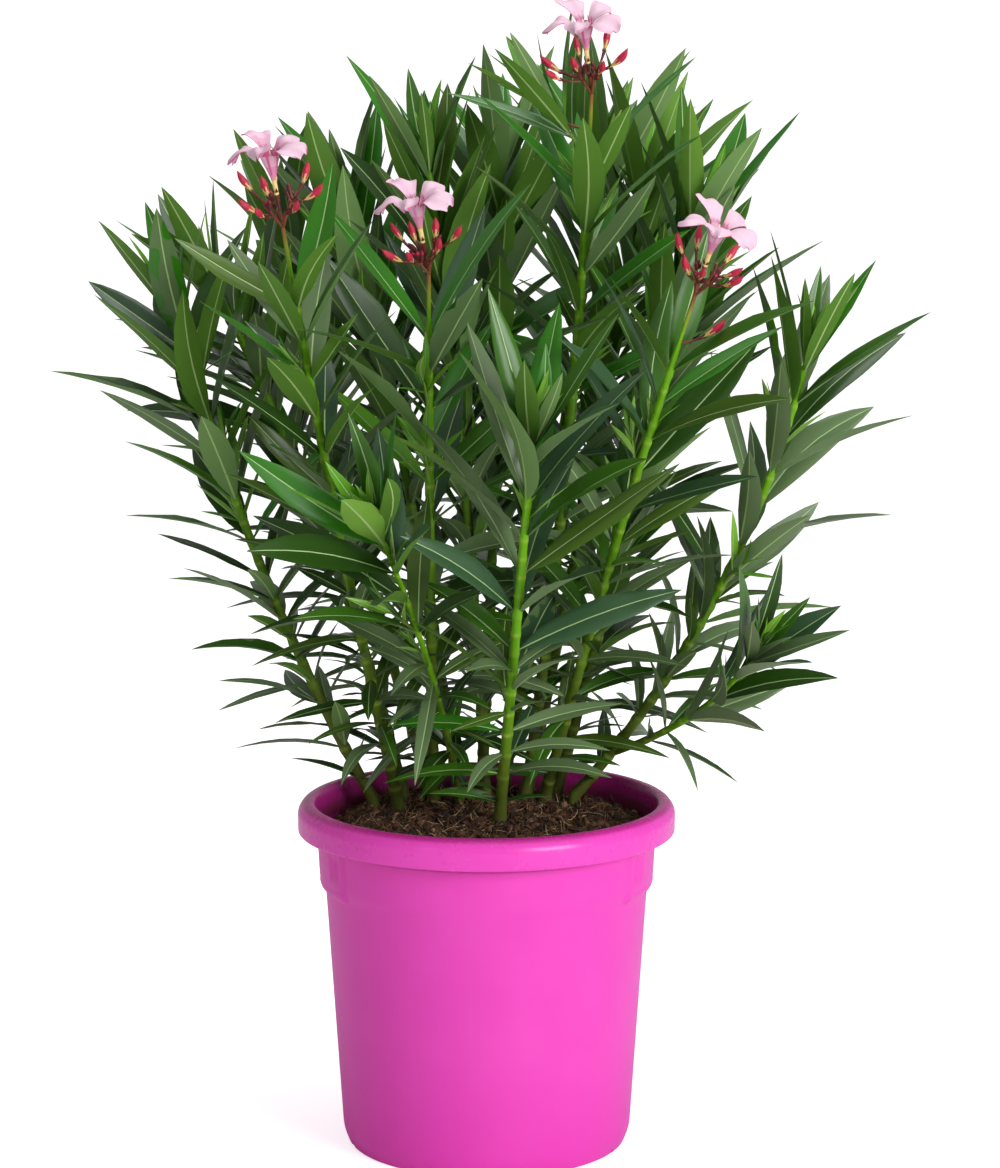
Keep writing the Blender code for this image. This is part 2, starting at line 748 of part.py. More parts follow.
def standing_limb(name):
    """A cane's bare limb, cut flat at the soil and swollen a little there."""
    rings = limb_rings(name, 0.0, CANES[name].bare - BARE_END, CANE_STEP)
    foot, direction, radius = rings[0]
    rings[0] = (foot, np.array([0.0, 0.0, 1.0]), radius * FLARE)
    rings.insert(1, (foot + direction * FLARE_HEIGHT, direction, radius))
    return rings


def branch_limb(name):
    """A branch's bare limb: it starts where it has just come clear of its parent cane."""
    host = [(centre, direction, radius + GAP) for centre, direction, radius in
            standing_limb(CANES[name].foot[0])]
    parent = BVHTree.FromPolygons(*tube(host, CANE_SIDES))
    start = 0.0
    while True:
        rings = limb_rings(name, start, CANES[name].bare - BARE_END, CANE_STEP)
        if not BVHTree.FromPolygons(*tube(rings, CANE_SIDES)).overlap(parent):
            return rings
        start += 0.001


def make_cane(name, bark):
    rings = branch_limb(name) if is_branch(name) else standing_limb(name)
    thing = add_object("cane_" + name, *tube(rings, CANE_SIDES), bark)
    smooth(thing, 70.0)


def make_mass(name, label, low, high, leaves, extras, green):
    """One mass of foliage: a three-sided stem with its leaves and blossom fused on."""
    stem = add_object("foliage_" + name + label, *tube(limb_rings(name, low, high, STEM_STEP), STEM_SIDES),
                      green)
    pieces = []
    for leaf in leaves:
        points, faces = leaf_solid(leaf)
        pieces.append(add_object("leaf", points, outward(points, faces)))
    for points, faces in extras:
        pieces.append(add_object("blossom", points, outward(points, faces)))
    boolean(stem, "UNION", pieces, "MANIFOLD")
    keep_largest_shell(stem)


def main():
    clear_scene()
    make_pot()
    make_soil()
    bark = plain_material("cane_bark", (0.16, 0.17, 0.05), 0.60)
    green = plain_material("leaf_green", (0.05, 0.13, 0.04), 0.45)

    space = Space()
    blossom = {}
    for index, name in enumerate(CANES):
        space.add_limb(name)
        blossom[name] = blossom_parts(name, random.Random(SEED * 100 + index))
        for points, faces in blossom[name]:
            space.add(points, faces)

    for index, name in enumerate(CANES):
        cane = CANES[name]
        rng = random.Random(cane.seed)
        shoots = grow_shoots(space, name, rng)
        leaves = grow_whorls(space, name, rng) + shoots
        extras = blossom[name]
        if cane.shoots:
            extras = extras + [tube(shoot_rings(name, side), STEM_SIDES) for side in (-1, 1)]
        make_cane(name, bark)
        if cane.split >= 1.0:
            make_mass(name, "", cane.bare - BARE_END, 1.0, [leaf for _, leaf in leaves], extras, green)
            continue
        cut = mass_cut(name)
        lower = [leaf for share, leaf in leaves if share < cut]
        upper = [leaf for share, leaf in leaves if share > cut]
        make_mass(name, "_low", cane.bare - BARE_END, cut, lower, [], green)
        make_mass(name, "_top", cut, 1.0, upper, extras, green)


main()
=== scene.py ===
"""Looks of the potted oleander: plastic pot, peat, barked canes, leaves and blossom.

The crown is grown again here by the rule that shaped its solids, leaf for leaf,
and then carried finer: true blades in place of plain ones, young shoots in the
axils, and trusses of buds round the open flowers. Metres, +Z up.
"""
import math
import random
from dataclasses import dataclass

import bpy
import numpy as np
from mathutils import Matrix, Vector
from mathutils.bvhtree import BVHTree


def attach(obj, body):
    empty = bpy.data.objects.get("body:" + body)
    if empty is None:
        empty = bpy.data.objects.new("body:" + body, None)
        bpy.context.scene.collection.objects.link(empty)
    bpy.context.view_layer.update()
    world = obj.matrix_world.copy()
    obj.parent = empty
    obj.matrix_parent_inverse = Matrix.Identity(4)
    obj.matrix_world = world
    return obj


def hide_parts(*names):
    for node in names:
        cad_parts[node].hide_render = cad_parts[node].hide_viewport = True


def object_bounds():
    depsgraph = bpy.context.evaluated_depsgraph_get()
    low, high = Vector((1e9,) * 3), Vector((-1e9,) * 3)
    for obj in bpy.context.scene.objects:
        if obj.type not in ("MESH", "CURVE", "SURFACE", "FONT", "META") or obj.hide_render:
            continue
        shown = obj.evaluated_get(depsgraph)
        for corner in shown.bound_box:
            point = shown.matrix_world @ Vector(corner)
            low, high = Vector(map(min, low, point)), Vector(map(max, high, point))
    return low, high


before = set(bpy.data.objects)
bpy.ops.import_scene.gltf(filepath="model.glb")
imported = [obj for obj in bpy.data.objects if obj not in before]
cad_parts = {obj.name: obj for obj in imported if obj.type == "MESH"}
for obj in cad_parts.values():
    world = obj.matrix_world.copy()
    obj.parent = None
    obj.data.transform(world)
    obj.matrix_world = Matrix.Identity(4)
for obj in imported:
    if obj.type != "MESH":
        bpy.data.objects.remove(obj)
cad_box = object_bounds()

SEED = 27

# Pot
RIM_RADIUS = 0.1295
RIM_CREST_RADIUS = 0.1223
RIM_INNER_RADIUS = 0.1168
RIM_CREST = 0.2393
RIM_FOOT = 0.2184
COLLAR_TOP_RADIUS = 0.1150
COLLAR_FOOT_RADIUS = 0.1132
COLLAR_FOOT = 0.1870
BODY_TOP = 0.1800
BODY_TOP_RADIUS = 0.1106
BODY_FOOT_RADIUS = 0.0993
BODY_FOOT = 0.0120
FOOT_RADIUS = 0.0955
WALL = 0.0024
FLOOR = 0.0030
DRAIN_HOLES = 4
DRAIN_RADIUS = 0.0055
DRAIN_CIRCLE = 0.058
DRAIN_SIDES = 32
NOTCHES = 8
NOTCH_WIDTH = 0.009
NOTCH_DEPTH = 0.009
NOTCH_HEIGHT = 0.0035
NOTCH_TURN = 0.37           # of the step between two notches, from +X to the first
POT_STEPS = 288
GRIP_PROUD = 0.0014         # of a grip panel on the collar
GRIP_EDGE = (33.5, 32.3)    # degrees from the side, where a panel starts and stands full
WINDOW_DEPTH = 0.0012       # of the window sunk in a panel
WINDOW_NEAR = (23.6, 24.3)  # degrees from the side, its edges
WINDOW_FAR = (31.6, 30.9)
WINDOW_BAR = 27.6           # degrees from the side, one of its upright bars
BAR_PITCH = 3.4             # degrees between bars
LEDGE_PROUD = 0.0006        # of the fine line under the grips

# Soil
GAP = 0.0003
SOIL_TOP = 0.2275
SOIL_EDGE_DROP = 0.0045
SOIL_EDGE_RADIUS = 0.1104
SOIL_WALL = (               # radius and height of its side and foot, from the top down
    (SOIL_EDGE_RADIUS - 0.0006, 0.205), (0.1098, COLLAR_FOOT), (0.1069, BODY_TOP),
    (0.0954, BODY_FOOT + 0.001), (0.0906, FLOOR + GAP), (0.0006, FLOOR + GAP),
)
SOIL_RINGS = 96
SOIL_STEPS = 300
CRUMBS = 3600
FIBRES = 3300
CHIPS = 90

# Growth rule
WHORL = 3
INTERNODE_LOW = 0.034
INTERNODE_HIGH = 0.0245
LEAF_THICKNESS = 0.016
LEAF_WIDEST = 0.50
ROOT_DEPTH = 0.0006
PETIOLE = 0.006
LEAF_CLEARANCE = 0.0006
LIMB_CLEARANCE = 0.0065
TIP_TUFT = 2
SHOOT_START = 0.004
SHOOT_LENGTH = 0.042
SHOOT_RADIUS = 0.0016
SHOOT_HEADING = (0.52, -0.10, 0.85)
FRONT_CLOSING = 0.34        # how much closer to their stem leaves stand that face the front
FRONT_THINNING = 0.5        # share of the leaves facing straight ahead that are missing
PEDUNCLE = 0.046            # of a flowering cane's end, without leaves
FLOWER_STALK = 0.022
FLOWER_TUBE = 0.028
FLOWER_THROAT = 0.0065
PETAL_LENGTH = 0.026
PETAL_WIDTH = 0.019
PETAL_THICKNESS = 0.0014
PETAL_WIDEST = 0.62
PETAL_ARCH = 0.003
PETAL_RISE = (0.004, 0.013)
PETALS = 5
BUDS = 7
BUD_REACH = 0.043
BUD_RADIUS = 0.0031
BUD_WIDEST = 0.74
BUD_LENGTH = 0.0195         # of the bud itself, without its stalk
SIDE_BUDS = {               # share up the cane, and reach of the bud
    "m": (0.905, (0.030, -0.006, 0.016)), "l": (0.945, (-0.024, -0.004, 0.020)),
}
ROSY_FLOWERS = {"b": 1.4, "l": 0.3}      # how much deeper a flower's pink is

# Fine leaves
BLADE_WIDTH = 0.78          # width of a blade against the solid's, whose outline is a diamond
BLADE_ROWS = (0.0, 0.04, 0.10, 0.19, 0.31, 0.45, 0.60, 0.75, 0.89, 1.0)
STALK_HALF_WIDTH = 0.0009
TIP_HALF_WIDTH = 0.00012
RIB_HALF_WIDTH = 0.00056
KEEL_DEPTH = 0.0011
YOUNG_SHOOT = 0.020         # length of a young side shoot's stem
CREST = (                   # rise above a leafy cane's tip, length and spread of young leaves
    (0.004, 0.046, 34), (0.012, 0.036, 24), (0.018, 0.024, 12),
)

# Fine limbs
LIMB_SIDES = 16
LIMB_STEP = 0.0023
TWIG_RADIUS = 0.0013        # at the foot of a young side shoot

# Camera
CAMERA_PLACE = (0.0093, -2.4, 0.7699)
CAMERA_DIP = 0.1576         # radians, from the level down to its line of sight
CAMERA_REACH = 3573.2 / 1168.0           # its focal length over the height of its picture


@dataclass(frozen=True)
class Cane:
    """One cane: foot on the soil, tip, sideways bow of its middle, and its dress."""
    foot: tuple                 # on the soil, or a branch's parent cane and how far up it
    tip: tuple
    bow: tuple = (0.0, 0.0, 0.0)
    girth: float = 0.0040       # radius at the foot
    leaf: float = 0.117         # length of its full-grown leaves
    bare: float = 0.22          # share of its length without leaves
    ending: str = "leafy"       # leafy, bud or flower
    turn: float = 0.0           # degrees, azimuth of its first whorl
    nod: tuple = (0.0, 0.0)     # sideways lean of its flower
    shoots: int = 0             # side shoots under the truss
    open: float = 0.0           # degrees by which its leaves stand out more than usual
    youth: float = 0.0          # 0 for a ripe, olive cane, 1 for a fresh green one
    seed: int = 0               # of its leaves' random draws
    fill: float = 0.5           # share of its length up to which extra leaves grow


CANES = {
    "d": Cane((0.009, -0.018), (0.030, -0.130, 0.501), seed=579, turn=80, leaf=0.132, open=6,
              girth=0.0042, bare=0.13, youth=0.75),
    "b": Cane((-0.061, 0.033), (-0.131, -0.090, 0.638), (-0.007, 0.005, 0.0), seed=738, turn=10,
              leaf=0.102, open=8, bare=0.11, ending="flower", nod=(-0.16, -0.30)),
    "f": Cane((-0.037, 0.052), (-0.037, -0.075, 0.607), (-0.002, 0.004, 0.0), seed=32, turn=115,
              leaf=0.132, open=12, ending="flower", nod=(-0.18, -0.38), bare=0.14),
    "m": Cane((0.041, 0.060), (0.136, -0.090, 0.594), (-0.006, 0.006, 0.0), seed=1218, turn=100,
              leaf=0.119, open=6, bare=0.12, ending="flower", nod=(0.30, -0.50), youth=0.1),
    "l": Cane((0.027, 0.062), (0.070, -0.010, 0.722), (0.014, 0.003, 0.0), seed=309, turn=65,
              leaf=0.103, open=10, ending="flower", nod=(-0.14, -0.50), shoots=2, youth=0.1,
              bare=0.14),
    "a": Cane((-0.078, 0.040), (-0.208, 0.020, 0.569), (-0.023, 0.0, -0.008), seed=1065, turn=45,
              leaf=0.113, open=2, bare=0.12),
    "j": Cane((0.060, 0.055), (0.215, 0.0, 0.539), (0.040, 0.004, -0.017), seed=1144, turn=50,
              leaf=0.12, open=-2, youth=0.3, bare=0.16),
    "c": Cane((-0.019, 0.045), (-0.069, -0.120, 0.442), (0.013, 0.003, 0.0), seed=863, turn=85,
              leaf=0.114, open=4, girth=0.0026, bare=0.40, youth=0.35),
    "k": Cane(("j", 0.118), (0.179, -0.030, 0.343), (0.020, 0.014, -0.014), seed=367, turn=95,
              leaf=0.114, open=-10, girth=0.0028, bare=0.20, youth=0.4),
    "i": Cane((0.049, 0.073), (0.142, 0.050, 0.624), (0.006, 0.0, 0.0), seed=1634, turn=5,
              leaf=0.132, open=-4, bare=0.16, fill=1.0),
    "o": Cane((-0.001, 0.061), (-0.039, 0.050, 0.666), (0.010, 0.0, 0.0), seed=1987, turn=30,
              leaf=0.116, open=-10, bare=0.14, fill=1.0),
    "e": Cane((-0.058, 0.058), (-0.186, 0.070, 0.582), (0.024, 0.0, 0.0), seed=1057, turn=35,
              leaf=0.118, open=4, fill=1.0),
    "g": Cane((-0.020, 0.074), (-0.096, 0.100, 0.634), (0.010, 0.0, 0.0), seed=1077, turn=30,
              leaf=0.118, open=-8, ending="bud", fill=1.0),
    "p": Cane((-0.004, 0.080), (0.009, 0.150, 0.660), (0.006, 0.0, 0.0), seed=168, turn=80,
              leaf=0.126, open=4, ending="bud", fill=1.0),
    "q": Cane((0.029, 0.082), (0.112, 0.140, 0.642), (0.002, 0.0, 0.0), seed=46, turn=115,
              leaf=0.124, open=4, bare=0.14, ending="bud", fill=1.0),
    "t": Cane((-0.040, 0.076), (-0.147, 0.190, 0.617), (-0.010, 0.020, 0.0), seed=1812, turn=60,
              leaf=0.107, open=4, fill=1.0),
    "u": Cane((0.012, 0.087), (0.084, 0.220, 0.663), (0.004, 0.022, 0.0), seed=1300, turn=10,
              leaf=0.132, open=6, fill=1.0),
}
FILL_SEED = 1000                # added to a cane's seed for its extra leaves
ONE_MASS = ("c", "k")           # canes whose foliage is one solid, not a lower and a top one


# --- Meshes -----------------------------------------------------------------

class Shape:
    """Points, faces and face slots gathered from arrays, then made one mesh."""

    def __init__(self):
        self.points = []
        self.faces = []
        self.slots = []
        self.values = {}
        self.start = 0
        self.count = 0

    def add(self, points, faces, slots=0, **values):
        """Points as rows of three, faces as rows of indices, one slot for all or one each."""
        points = np.asarray(points, dtype=float).reshape(-1, 3)
        self.points.append(points)
        for key, value in values.items():
            self.values.setdefault(key, []).append(np.broadcast_to(value, len(points)))
        self.start = self.count
        self.count += len(points)
        self.add_faces(faces, slots)

    def add_faces(self, faces, slots=0):
        """More faces, of another size or slot, on the points that were added last."""
        self.faces.append(np.asarray(faces) + self.start)
        self.slots.append(np.broadcast_to(np.asarray(slots), len(faces)))

    def add_closed(self, rings, slots=0, fan_slots=0, **values):
        """A grid of rings as a closed tube, with the slots of its quads and of its end fans."""
        points, quads, fans = closed_tube(rings)
        self.add(points, quads, slots, **values)
        self.add_faces(fans, fan_slots)

    def build(self, name, materials, body="root", angle=50.0, stands_for=()):
        """Write the arrays into a mesh, round except over edges sharper than the angle.

        Only the materials that its slots use go with it.
        """
        points = np.concatenate(self.points)
        loops = np.concatenate([faces.ravel() for faces in self.faces])
        sizes = np.concatenate([np.full(len(faces), faces.shape[1]) for faces in self.faces])
        slots = np.concatenate(self.slots)
        used = np.unique(slots)
        mesh = bpy.data.meshes.new(name)
        mesh.vertices.add(len(points))
        mesh.vertices.foreach_set("co", points.ravel())
        mesh.loops.add(len(loops))
        mesh.loops.foreach_set("vertex_index", loops.astype(np.int32))
        mesh.polygons.add(len(sizes))
        mesh.polygons.foreach_set("loop_start", np.concatenate(([0], np.cumsum(sizes)[:-1])))
        mesh.polygons.foreach_set("material_index", np.searchsorted(used, slots))
        for index in used:
            mesh.materials.append(materials[index])
        for key, value in self.values.items():
            field = mesh.attributes.new(key, "FLOAT", "POINT")
            field.data.foreach_set("value", np.concatenate(value))
        mesh.update(calc_edges=True)
        mesh.validate()
        mesh.shade_smooth()
        mesh.set_sharp_from_angle(angle=math.radians(angle))
        thing = bpy.data.objects.new(name, mesh)
        bpy.context.scene.collection.objects.link(thing)
        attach(thing, body)
        if stands_for:
            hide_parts(*stands_for)
        return thing


def grid_faces(rows, columns, ring=False):
    """Quads of a grid whose point (row, column) has index row * columns + column.

    A ring joins the last column to the first.
    """
    row = np.arange(rows - 1)[:, None] * columns
    column = np.arange(columns if ring else columns - 1)[None, :]
    after = (column + 1) % columns
    quads = np.stack([row + column, row + after, row + columns + after, row + columns + column], -1)
    return quads.reshape(-1, 4)


def repeat_faces(faces, count, stride):
    """One small piece's faces, again for each piece of a row with `stride` points each."""
    starts = stride * np.arange(count)[:, None, None]
    return (faces[None] + starts).reshape(-1, faces.shape[1])


def volume(points, faces):
    """Six times the signed volume inside closed faces, from fans of triangles."""
    first = points[faces[:, 0]]
    total = 0.0
    for k in range(1, faces.shape[1] - 1):
        total += (first * np.cross(points[faces[:, k]], points[faces[:, k + 1]])).sum()
    return total


def facing_out(points, *groups):
    """The same groups of faces, all turned over together if they enclose a negative volume."""
    points = np.asarray(points, dtype=float).reshape(-1, 3)
    points = points - points.mean(axis=0)
    total = sum(volume(points, faces) for faces in groups)
    return groups if total > 0 else tuple(faces[:, ::-1] for faces in groups)


def closed_tube(points):
    """A grid of rings as a closed tube: quads between rings and a fan over each end.

    The fan's middle point is the mean of its ring.
    """
    rings, sides, _ = points.shape
    quads = grid_faces(rings, sides, ring=True)
    ends = np.stack([points[0].mean(axis=0), points[-1].mean(axis=0)])
    around = np.arange(sides)
    after = (around + 1) % sides
    low = np.stack([np.full(sides, rings * sides), after, around], -1)
    base = (rings - 1) * sides
    high = np.stack([np.full(sides, rings * sides + 1), base + around, base + after], -1)
    all_points = np.concatenate([points.reshape(-1, 3), ends])
    return all_points, *facing_out(all_points, quads, np.concatenate([low, high]))


def slab(upper, lower):
    """Two grids of the same size as the faces of one closed sheet, joined round the edge."""
    rows, columns, _ = upper.shape
    top = grid_faces(rows, columns)
    count = rows * columns
    index = np.arange(count).reshape(rows, columns)
    edge = np.concatenate([index[0, :-1], index[:-1, -1], index[-1, :0:-1], index[:0:-1, 0]])
    after = np.roll(edge, -1)
    side = np.stack([edge, edge + count, after + count, after], -1)
    points = np.concatenate([upper.reshape(-1, 3), lower.reshape(-1, 3)])
    under = top[:, ::-1] + count
    if volume(points - points.mean(axis=0), np.concatenate([top, side, under])) < 0:
        top, side, under = top[:, ::-1], side[:, ::-1], under[:, ::-1]
    return points, top, side, under


class Noise:
    """Smooth noise on the plane: random heights on a square lattice, eased in between."""

    def __init__(self, seed, size=64):
        self.size = size
        self.table = np.random.default_rng(seed).uniform(-1.0, 1.0, (size, size))

    def at(self, x, y):
        """Its height at x, y in lattice steps, from the four corners of the square there."""
        low_x = np.floor(x).astype(int)
        low_y = np.floor(y).astype(int)
        share_x = ease(0.0, 1.0, x - low_x)
        share_y = ease(0.0, 1.0, y - low_y)

        def corner(step_x, step_y):
            return self.table[(low_x + step_x) % self.size, (low_y + step_y) % self.size]

        near = corner(0, 0) + (corner(1, 0) - corner(0, 0)) * share_x
        far = corner(0, 1) + (corner(1, 1) - corner(0, 1)) * share_x
        return near + (far - near) * share_y


def ease(low, high, value):
    """0 below low, 1 above high, and a smooth S between them."""
    share = np.clip((value - low) / (high - low), 0.0, 1.0)
    return share * share * (3 - 2 * share)


def hump(value, middle, width):
    """1 at the middle, falling away on both sides as a bell curve of that width."""
    return np.exp(-((value - middle) / width) ** 2)


def circle(count):
    """Angles once round, evenly spaced from 0."""
    return np.linspace(0.0, 2.0 * math.pi, count, endpoint=False)


def revolve(reach, angle, height):
    """Points at a reach from Z, an angle from +X and a height, grids or single rows of them."""
    x, y, z = np.broadcast_arrays(reach * np.cos(angle), reach * np.sin(angle), height)
    return np.stack([x, y, z], -1)


def units(vectors):
    """Vectors along the last axis, each made one long."""
    return vectors / np.linalg.norm(vectors, axis=-1, keepdims=True)


# --- Materials --------------------------------------------------------------

def linear(red, green, blue):
    """A screen colour given in 0 to 255 as the linear colour that a shader takes."""
    def channel(value):
        value /= 255.0
        return value / 12.92 if value <= 0.04045 else ((value + 0.055) / 1.055) ** 2.4
    return (channel(red), channel(green), channel(blue), 1.0)


def shader_of(name, colour, roughness, specular=0.5):
    """A material with one Principled shader and constants on its own sockets."""
    material = bpy.data.materials.new(name)
    material.use_nodes = True
    shader = material.node_tree.nodes["Principled BSDF"]
    shader.inputs["Base Color"].default_value = colour
    shader.inputs["Roughness"].default_value = roughness
    shader.inputs["Specular IOR Level"].default_value = specular
    return material


class Nodes:
    """Short hand for wiring the nodes of one material or node group."""

    def __init__(self, tree):
        self.tree = tree

    def add(self, kind, **inputs):
        node = self.tree.nodes.new("ShaderNode" + kind)
        for key, value in inputs.items():
            self.feed(node, key, value)
        return node

    def feed(self, node, key, value):
        """Set an input, or wire it where the value is an output; iN is input number N."""
        numbered = key[0] == "i" and key[1:].isdigit()
        target = node.inputs[int(key[1:]) if numbered else key.replace("_", " ")]
        if hasattr(value, "is_output"):
            self.tree.links.new(value, target)
        else:
            target.default_value = value

    def math(self, operation, first, second=0.0):
        node = self.add("Math", i0=first, i1=second)
        node.operation = operation
        return node.outputs[0]

    def noise(self, vector, scale, detail=3.0, roughness=0.55):
        node = self.add("TexNoise", Vector=vector, Scale=scale, Detail=detail, Roughness=roughness)
        return node.outputs["Fac"]

    def fit(self, value, low, high, to_low=0.0, to_high=1.0):
        node = self.add("MapRange", Value=value, From_Min=low, From_Max=high,
                        To_Min=to_low, To_Max=to_high)
        node.interpolation_type = "SMOOTHSTEP"
        return node.outputs["Result"]

    def mix(self, share, first, second):
        """The first colour at share 0 and the second at 1."""
        node = self.tree.nodes.new("ShaderNodeMix")
        node.data_type = "RGBA"
        for key, value in (("i0", share), ("i6", first), ("i7", second)):
            self.feed(node, key, value)
        return node.outputs[2]

    def ramp(self, share, stops):
        """A colour ramp through (position, colour) stops."""
        node = self.add("ValToRGB", Fac=share)
        elements = node.color_ramp.elements
        while len(elements) < len(stops):
            elements.new(0.5)
        for element, (position, colour) in zip(elements, stops):
            element.position = position
            element.color = colour
        return node.outputs["Color"]

    def stretch(self, vector, scale):
        return self.add("Mapping", Vector=vector, Scale=scale).outputs["Vector"]

    def bump(self, height, strength, distance):
        return self.add("Bump", Height=height, Strength=strength, Distance=distance).outputs["Normal"]


def mottle_group():
    """Uneven patches: two sizes of noise multiplied, fitted to 0..1 between two levels."""
    group = bpy.data.node_groups.new("mottle", "ShaderNodeTree")
    face = group.interface
    face.new_socket("Vector", in_out="INPUT", socket_type="NodeSocketVector")
    for name, value in (("Scale", 10.0), ("Low", 0.4), ("High", 0.6)):
        face.new_socket(name, in_out="INPUT", socket_type="NodeSocketFloat").default_value = value
    face.new_socket("Mask", in_out="OUTPUT", socket_type="NodeSocketFloat")
    nodes = Nodes(group)
    entry = group.nodes.new("NodeGroupInput")
    leave = group.nodes.new("NodeGroupOutput")
    coarse = nodes.noise(entry.outputs["Vector"], entry.outputs["Scale"])
    fine = nodes.noise(entry.outputs["Vector"], nodes.math("MULTIPLY", entry.outputs["Scale"], 3.7))
    both = nodes.math("ADD", nodes.math("MULTIPLY", coarse, 0.65), nodes.math("MULTIPLY", fine, 0.35))
    mask = nodes.fit(both, entry.outputs["Low"], entry.outputs["High"])
    group.links.new(mask, leave.inputs["Mask"])
    return group


def place_mottle(nodes, group, vector, scale, low, high):
    """The mottle group placed in a material: its mask."""
    node = nodes.tree.nodes.new("ShaderNodeGroup")
    node.node_tree = group
    for key, value in (("Vector", vector), ("Scale", scale), ("Low", low), ("High", high)):
        nodes.feed(node, key, value)
    return node.outputs["Mask"]


def patterned(name, colour, roughness, specular):
    """A material for a pattern, its nodes and shader, and the place on the piece."""
    material = shader_of(name, colour, roughness, specular)
    nodes = Nodes(material.node_tree)
    shader = material.node_tree.nodes["Principled BSDF"]
    return material, nodes, shader, nodes.add("TexCoord").outputs["Object"]


def plastic_material(mottle):
    """Moulded pot plastic: satin, faintly uneven, darker towards its foot as painted shade.

    Inside the rim the wall darkens just above the soil, partly soil dust and partly painted shade, and
    a painted shadow makes a dark line in the corner under the rim.
    """
    material, nodes, shader, place = patterned("pot_plastic", linear(236, 72, 190), 0.38, 0.35)
    cloud = place_mottle(nodes, mottle, place, 9.0, 0.35, 0.65)
    body = nodes.mix(cloud, linear(230, 64, 184), linear(234, 70, 188))
    apart = nodes.add("SeparateXYZ", Vector=place)
    across = nodes.math("MULTIPLY", apart.outputs["X"], apart.outputs["X"])
    deep = nodes.math("MULTIPLY", apart.outputs["Y"], apart.outputs["Y"])
    radius = nodes.math("SQRT", nodes.math("ADD", across, deep))
    inside = nodes.fit(radius, RIM_INNER_RADIUS - 0.0002, RIM_INNER_RADIUS + 0.0006, 1.0, 0.0)
    # soil dust and painted shade: the inner wall darkens towards the soil line, where it lies in shade
    low = nodes.fit(apart.outputs["Z"], SOIL_TOP - 0.004, SOIL_TOP + 0.006, 0.8, 0.0)
    high = nodes.fit(apart.outputs["Z"], RIM_FOOT, RIM_FOOT + 0.0006)
    dust = nodes.math("MULTIPLY", inside, nodes.math("MULTIPLY", low, high))
    # painted shade: the body darkens towards its foot, where less light reaches
    foot = nodes.fit(apart.outputs["Z"], 0.0, 0.11, 0.55, 0.0)
    body = nodes.mix(foot, body, linear(222, 52, 176))
    # painted shadow: a dark line in the corner under the rim's overhang, where the rim shades the
    # collar
    corner = nodes.fit(apart.outputs["Z"], RIM_FOOT - 0.0052, RIM_FOOT - 0.0030, 0.0, 0.75)
    outer = nodes.fit(radius, RIM_RADIUS - 0.0040, RIM_RADIUS - 0.0020, 1.0, 0.0)
    body = nodes.mix(nodes.math("MULTIPLY", corner, outer), body, linear(186, 28, 132))
    nodes.feed(shader, "Base_Color", nodes.mix(dust, body, linear(96, 40, 44)))
    scuff = place_mottle(nodes, mottle, place, 34.0, 0.40, 0.66)
    matt = nodes.fit(apart.outputs["Z"], RIM_FOOT - 0.004, RIM_FOOT, 0.14, 0.0)
    gloss = nodes.fit(scuff, 0.0, 1.0, 0.27, 0.30)
    nodes.feed(shader, "Roughness", nodes.math("ADD", gloss, matt))
    return material


def peat_material(mottle):
    """Damp potting mix: dark peat, brown coir dust and a few lighter specks."""
    material, nodes, shader, place = patterned("peat", linear(48, 31, 20), 0.95, 0.25)
    damp = place_mottle(nodes, mottle, place, 60.0, 0.40, 0.62)
    dark = nodes.mix(damp, linear(30, 18, 12), linear(74, 46, 31))
    speck = place_mottle(nodes, mottle, place, 420.0, 0.56, 0.64)
    nodes.feed(shader, "Base_Color", nodes.mix(speck, dark, linear(104, 78, 52)))
    crumb = nodes.noise(place, 700.0, 5.0, 0.7)
    nodes.feed(shader, "Normal", nodes.bump(crumb, 1.0, 0.0020))
    return material


def bark_material(mottle):
    """Green bark: olive at the foot, fresh above, red-brown on a flower stalk.

    Age runs from 0 at the foot to 2/3 where the leaves end and 1 at the end of a
    flower stalk. Scar marks the rings where leaves sit or have sat.
    """
    material, nodes, shader, place = patterned("bark", linear(90, 110, 40), 0.5, 0.3)
    age = nodes.add("Attribute")
    age.attribute_name = "age"
    scar = nodes.add("Attribute")
    scar.attribute_name = "scar"
    flesh = nodes.ramp(age.outputs["Fac"], (
        (0.0, linear(74, 86, 20)), (0.16, linear(90, 118, 16)), (0.38, linear(96, 150, 8)),
        (0.66, linear(108, 176, 8)), (0.90, linear(142, 150, 46)), (0.99, linear(134, 84, 46))))
    long = nodes.stretch(place, (1.0, 1.0, 0.18))
    streak = place_mottle(nodes, mottle, long, 210.0, 0.44, 0.66)
    ripe = nodes.fit(age.outputs["Fac"], 0.0, 0.45, 0.55, 0.10)
    brown = nodes.math("MULTIPLY", streak, ripe)
    skin = nodes.mix(brown, flesh, linear(84, 66, 34))
    ring = nodes.math("MULTIPLY", scar.outputs["Fac"], 0.85)
    skin = nodes.mix(ring, skin, linear(158, 184, 70))
    cork = place_mottle(nodes, mottle, place, 520.0, 0.60, 0.66)
    dots = nodes.math("MULTIPLY", cork, nodes.fit(age.outputs["Fac"], 0.1, 0.5, 0.55, 0.0))
    nodes.feed(shader, "Base_Color", nodes.mix(dots, skin, linear(140, 124, 84)))
    nodes.feed(shader, "Roughness", nodes.fit(age.outputs["Fac"], 0.0, 0.6, 0.66, 0.40))
    grain = nodes.noise(long, 700.0, 4.0, 0.65)
    nodes.feed(shader, "Normal", nodes.bump(grain, 0.35, 0.0005))
    return material


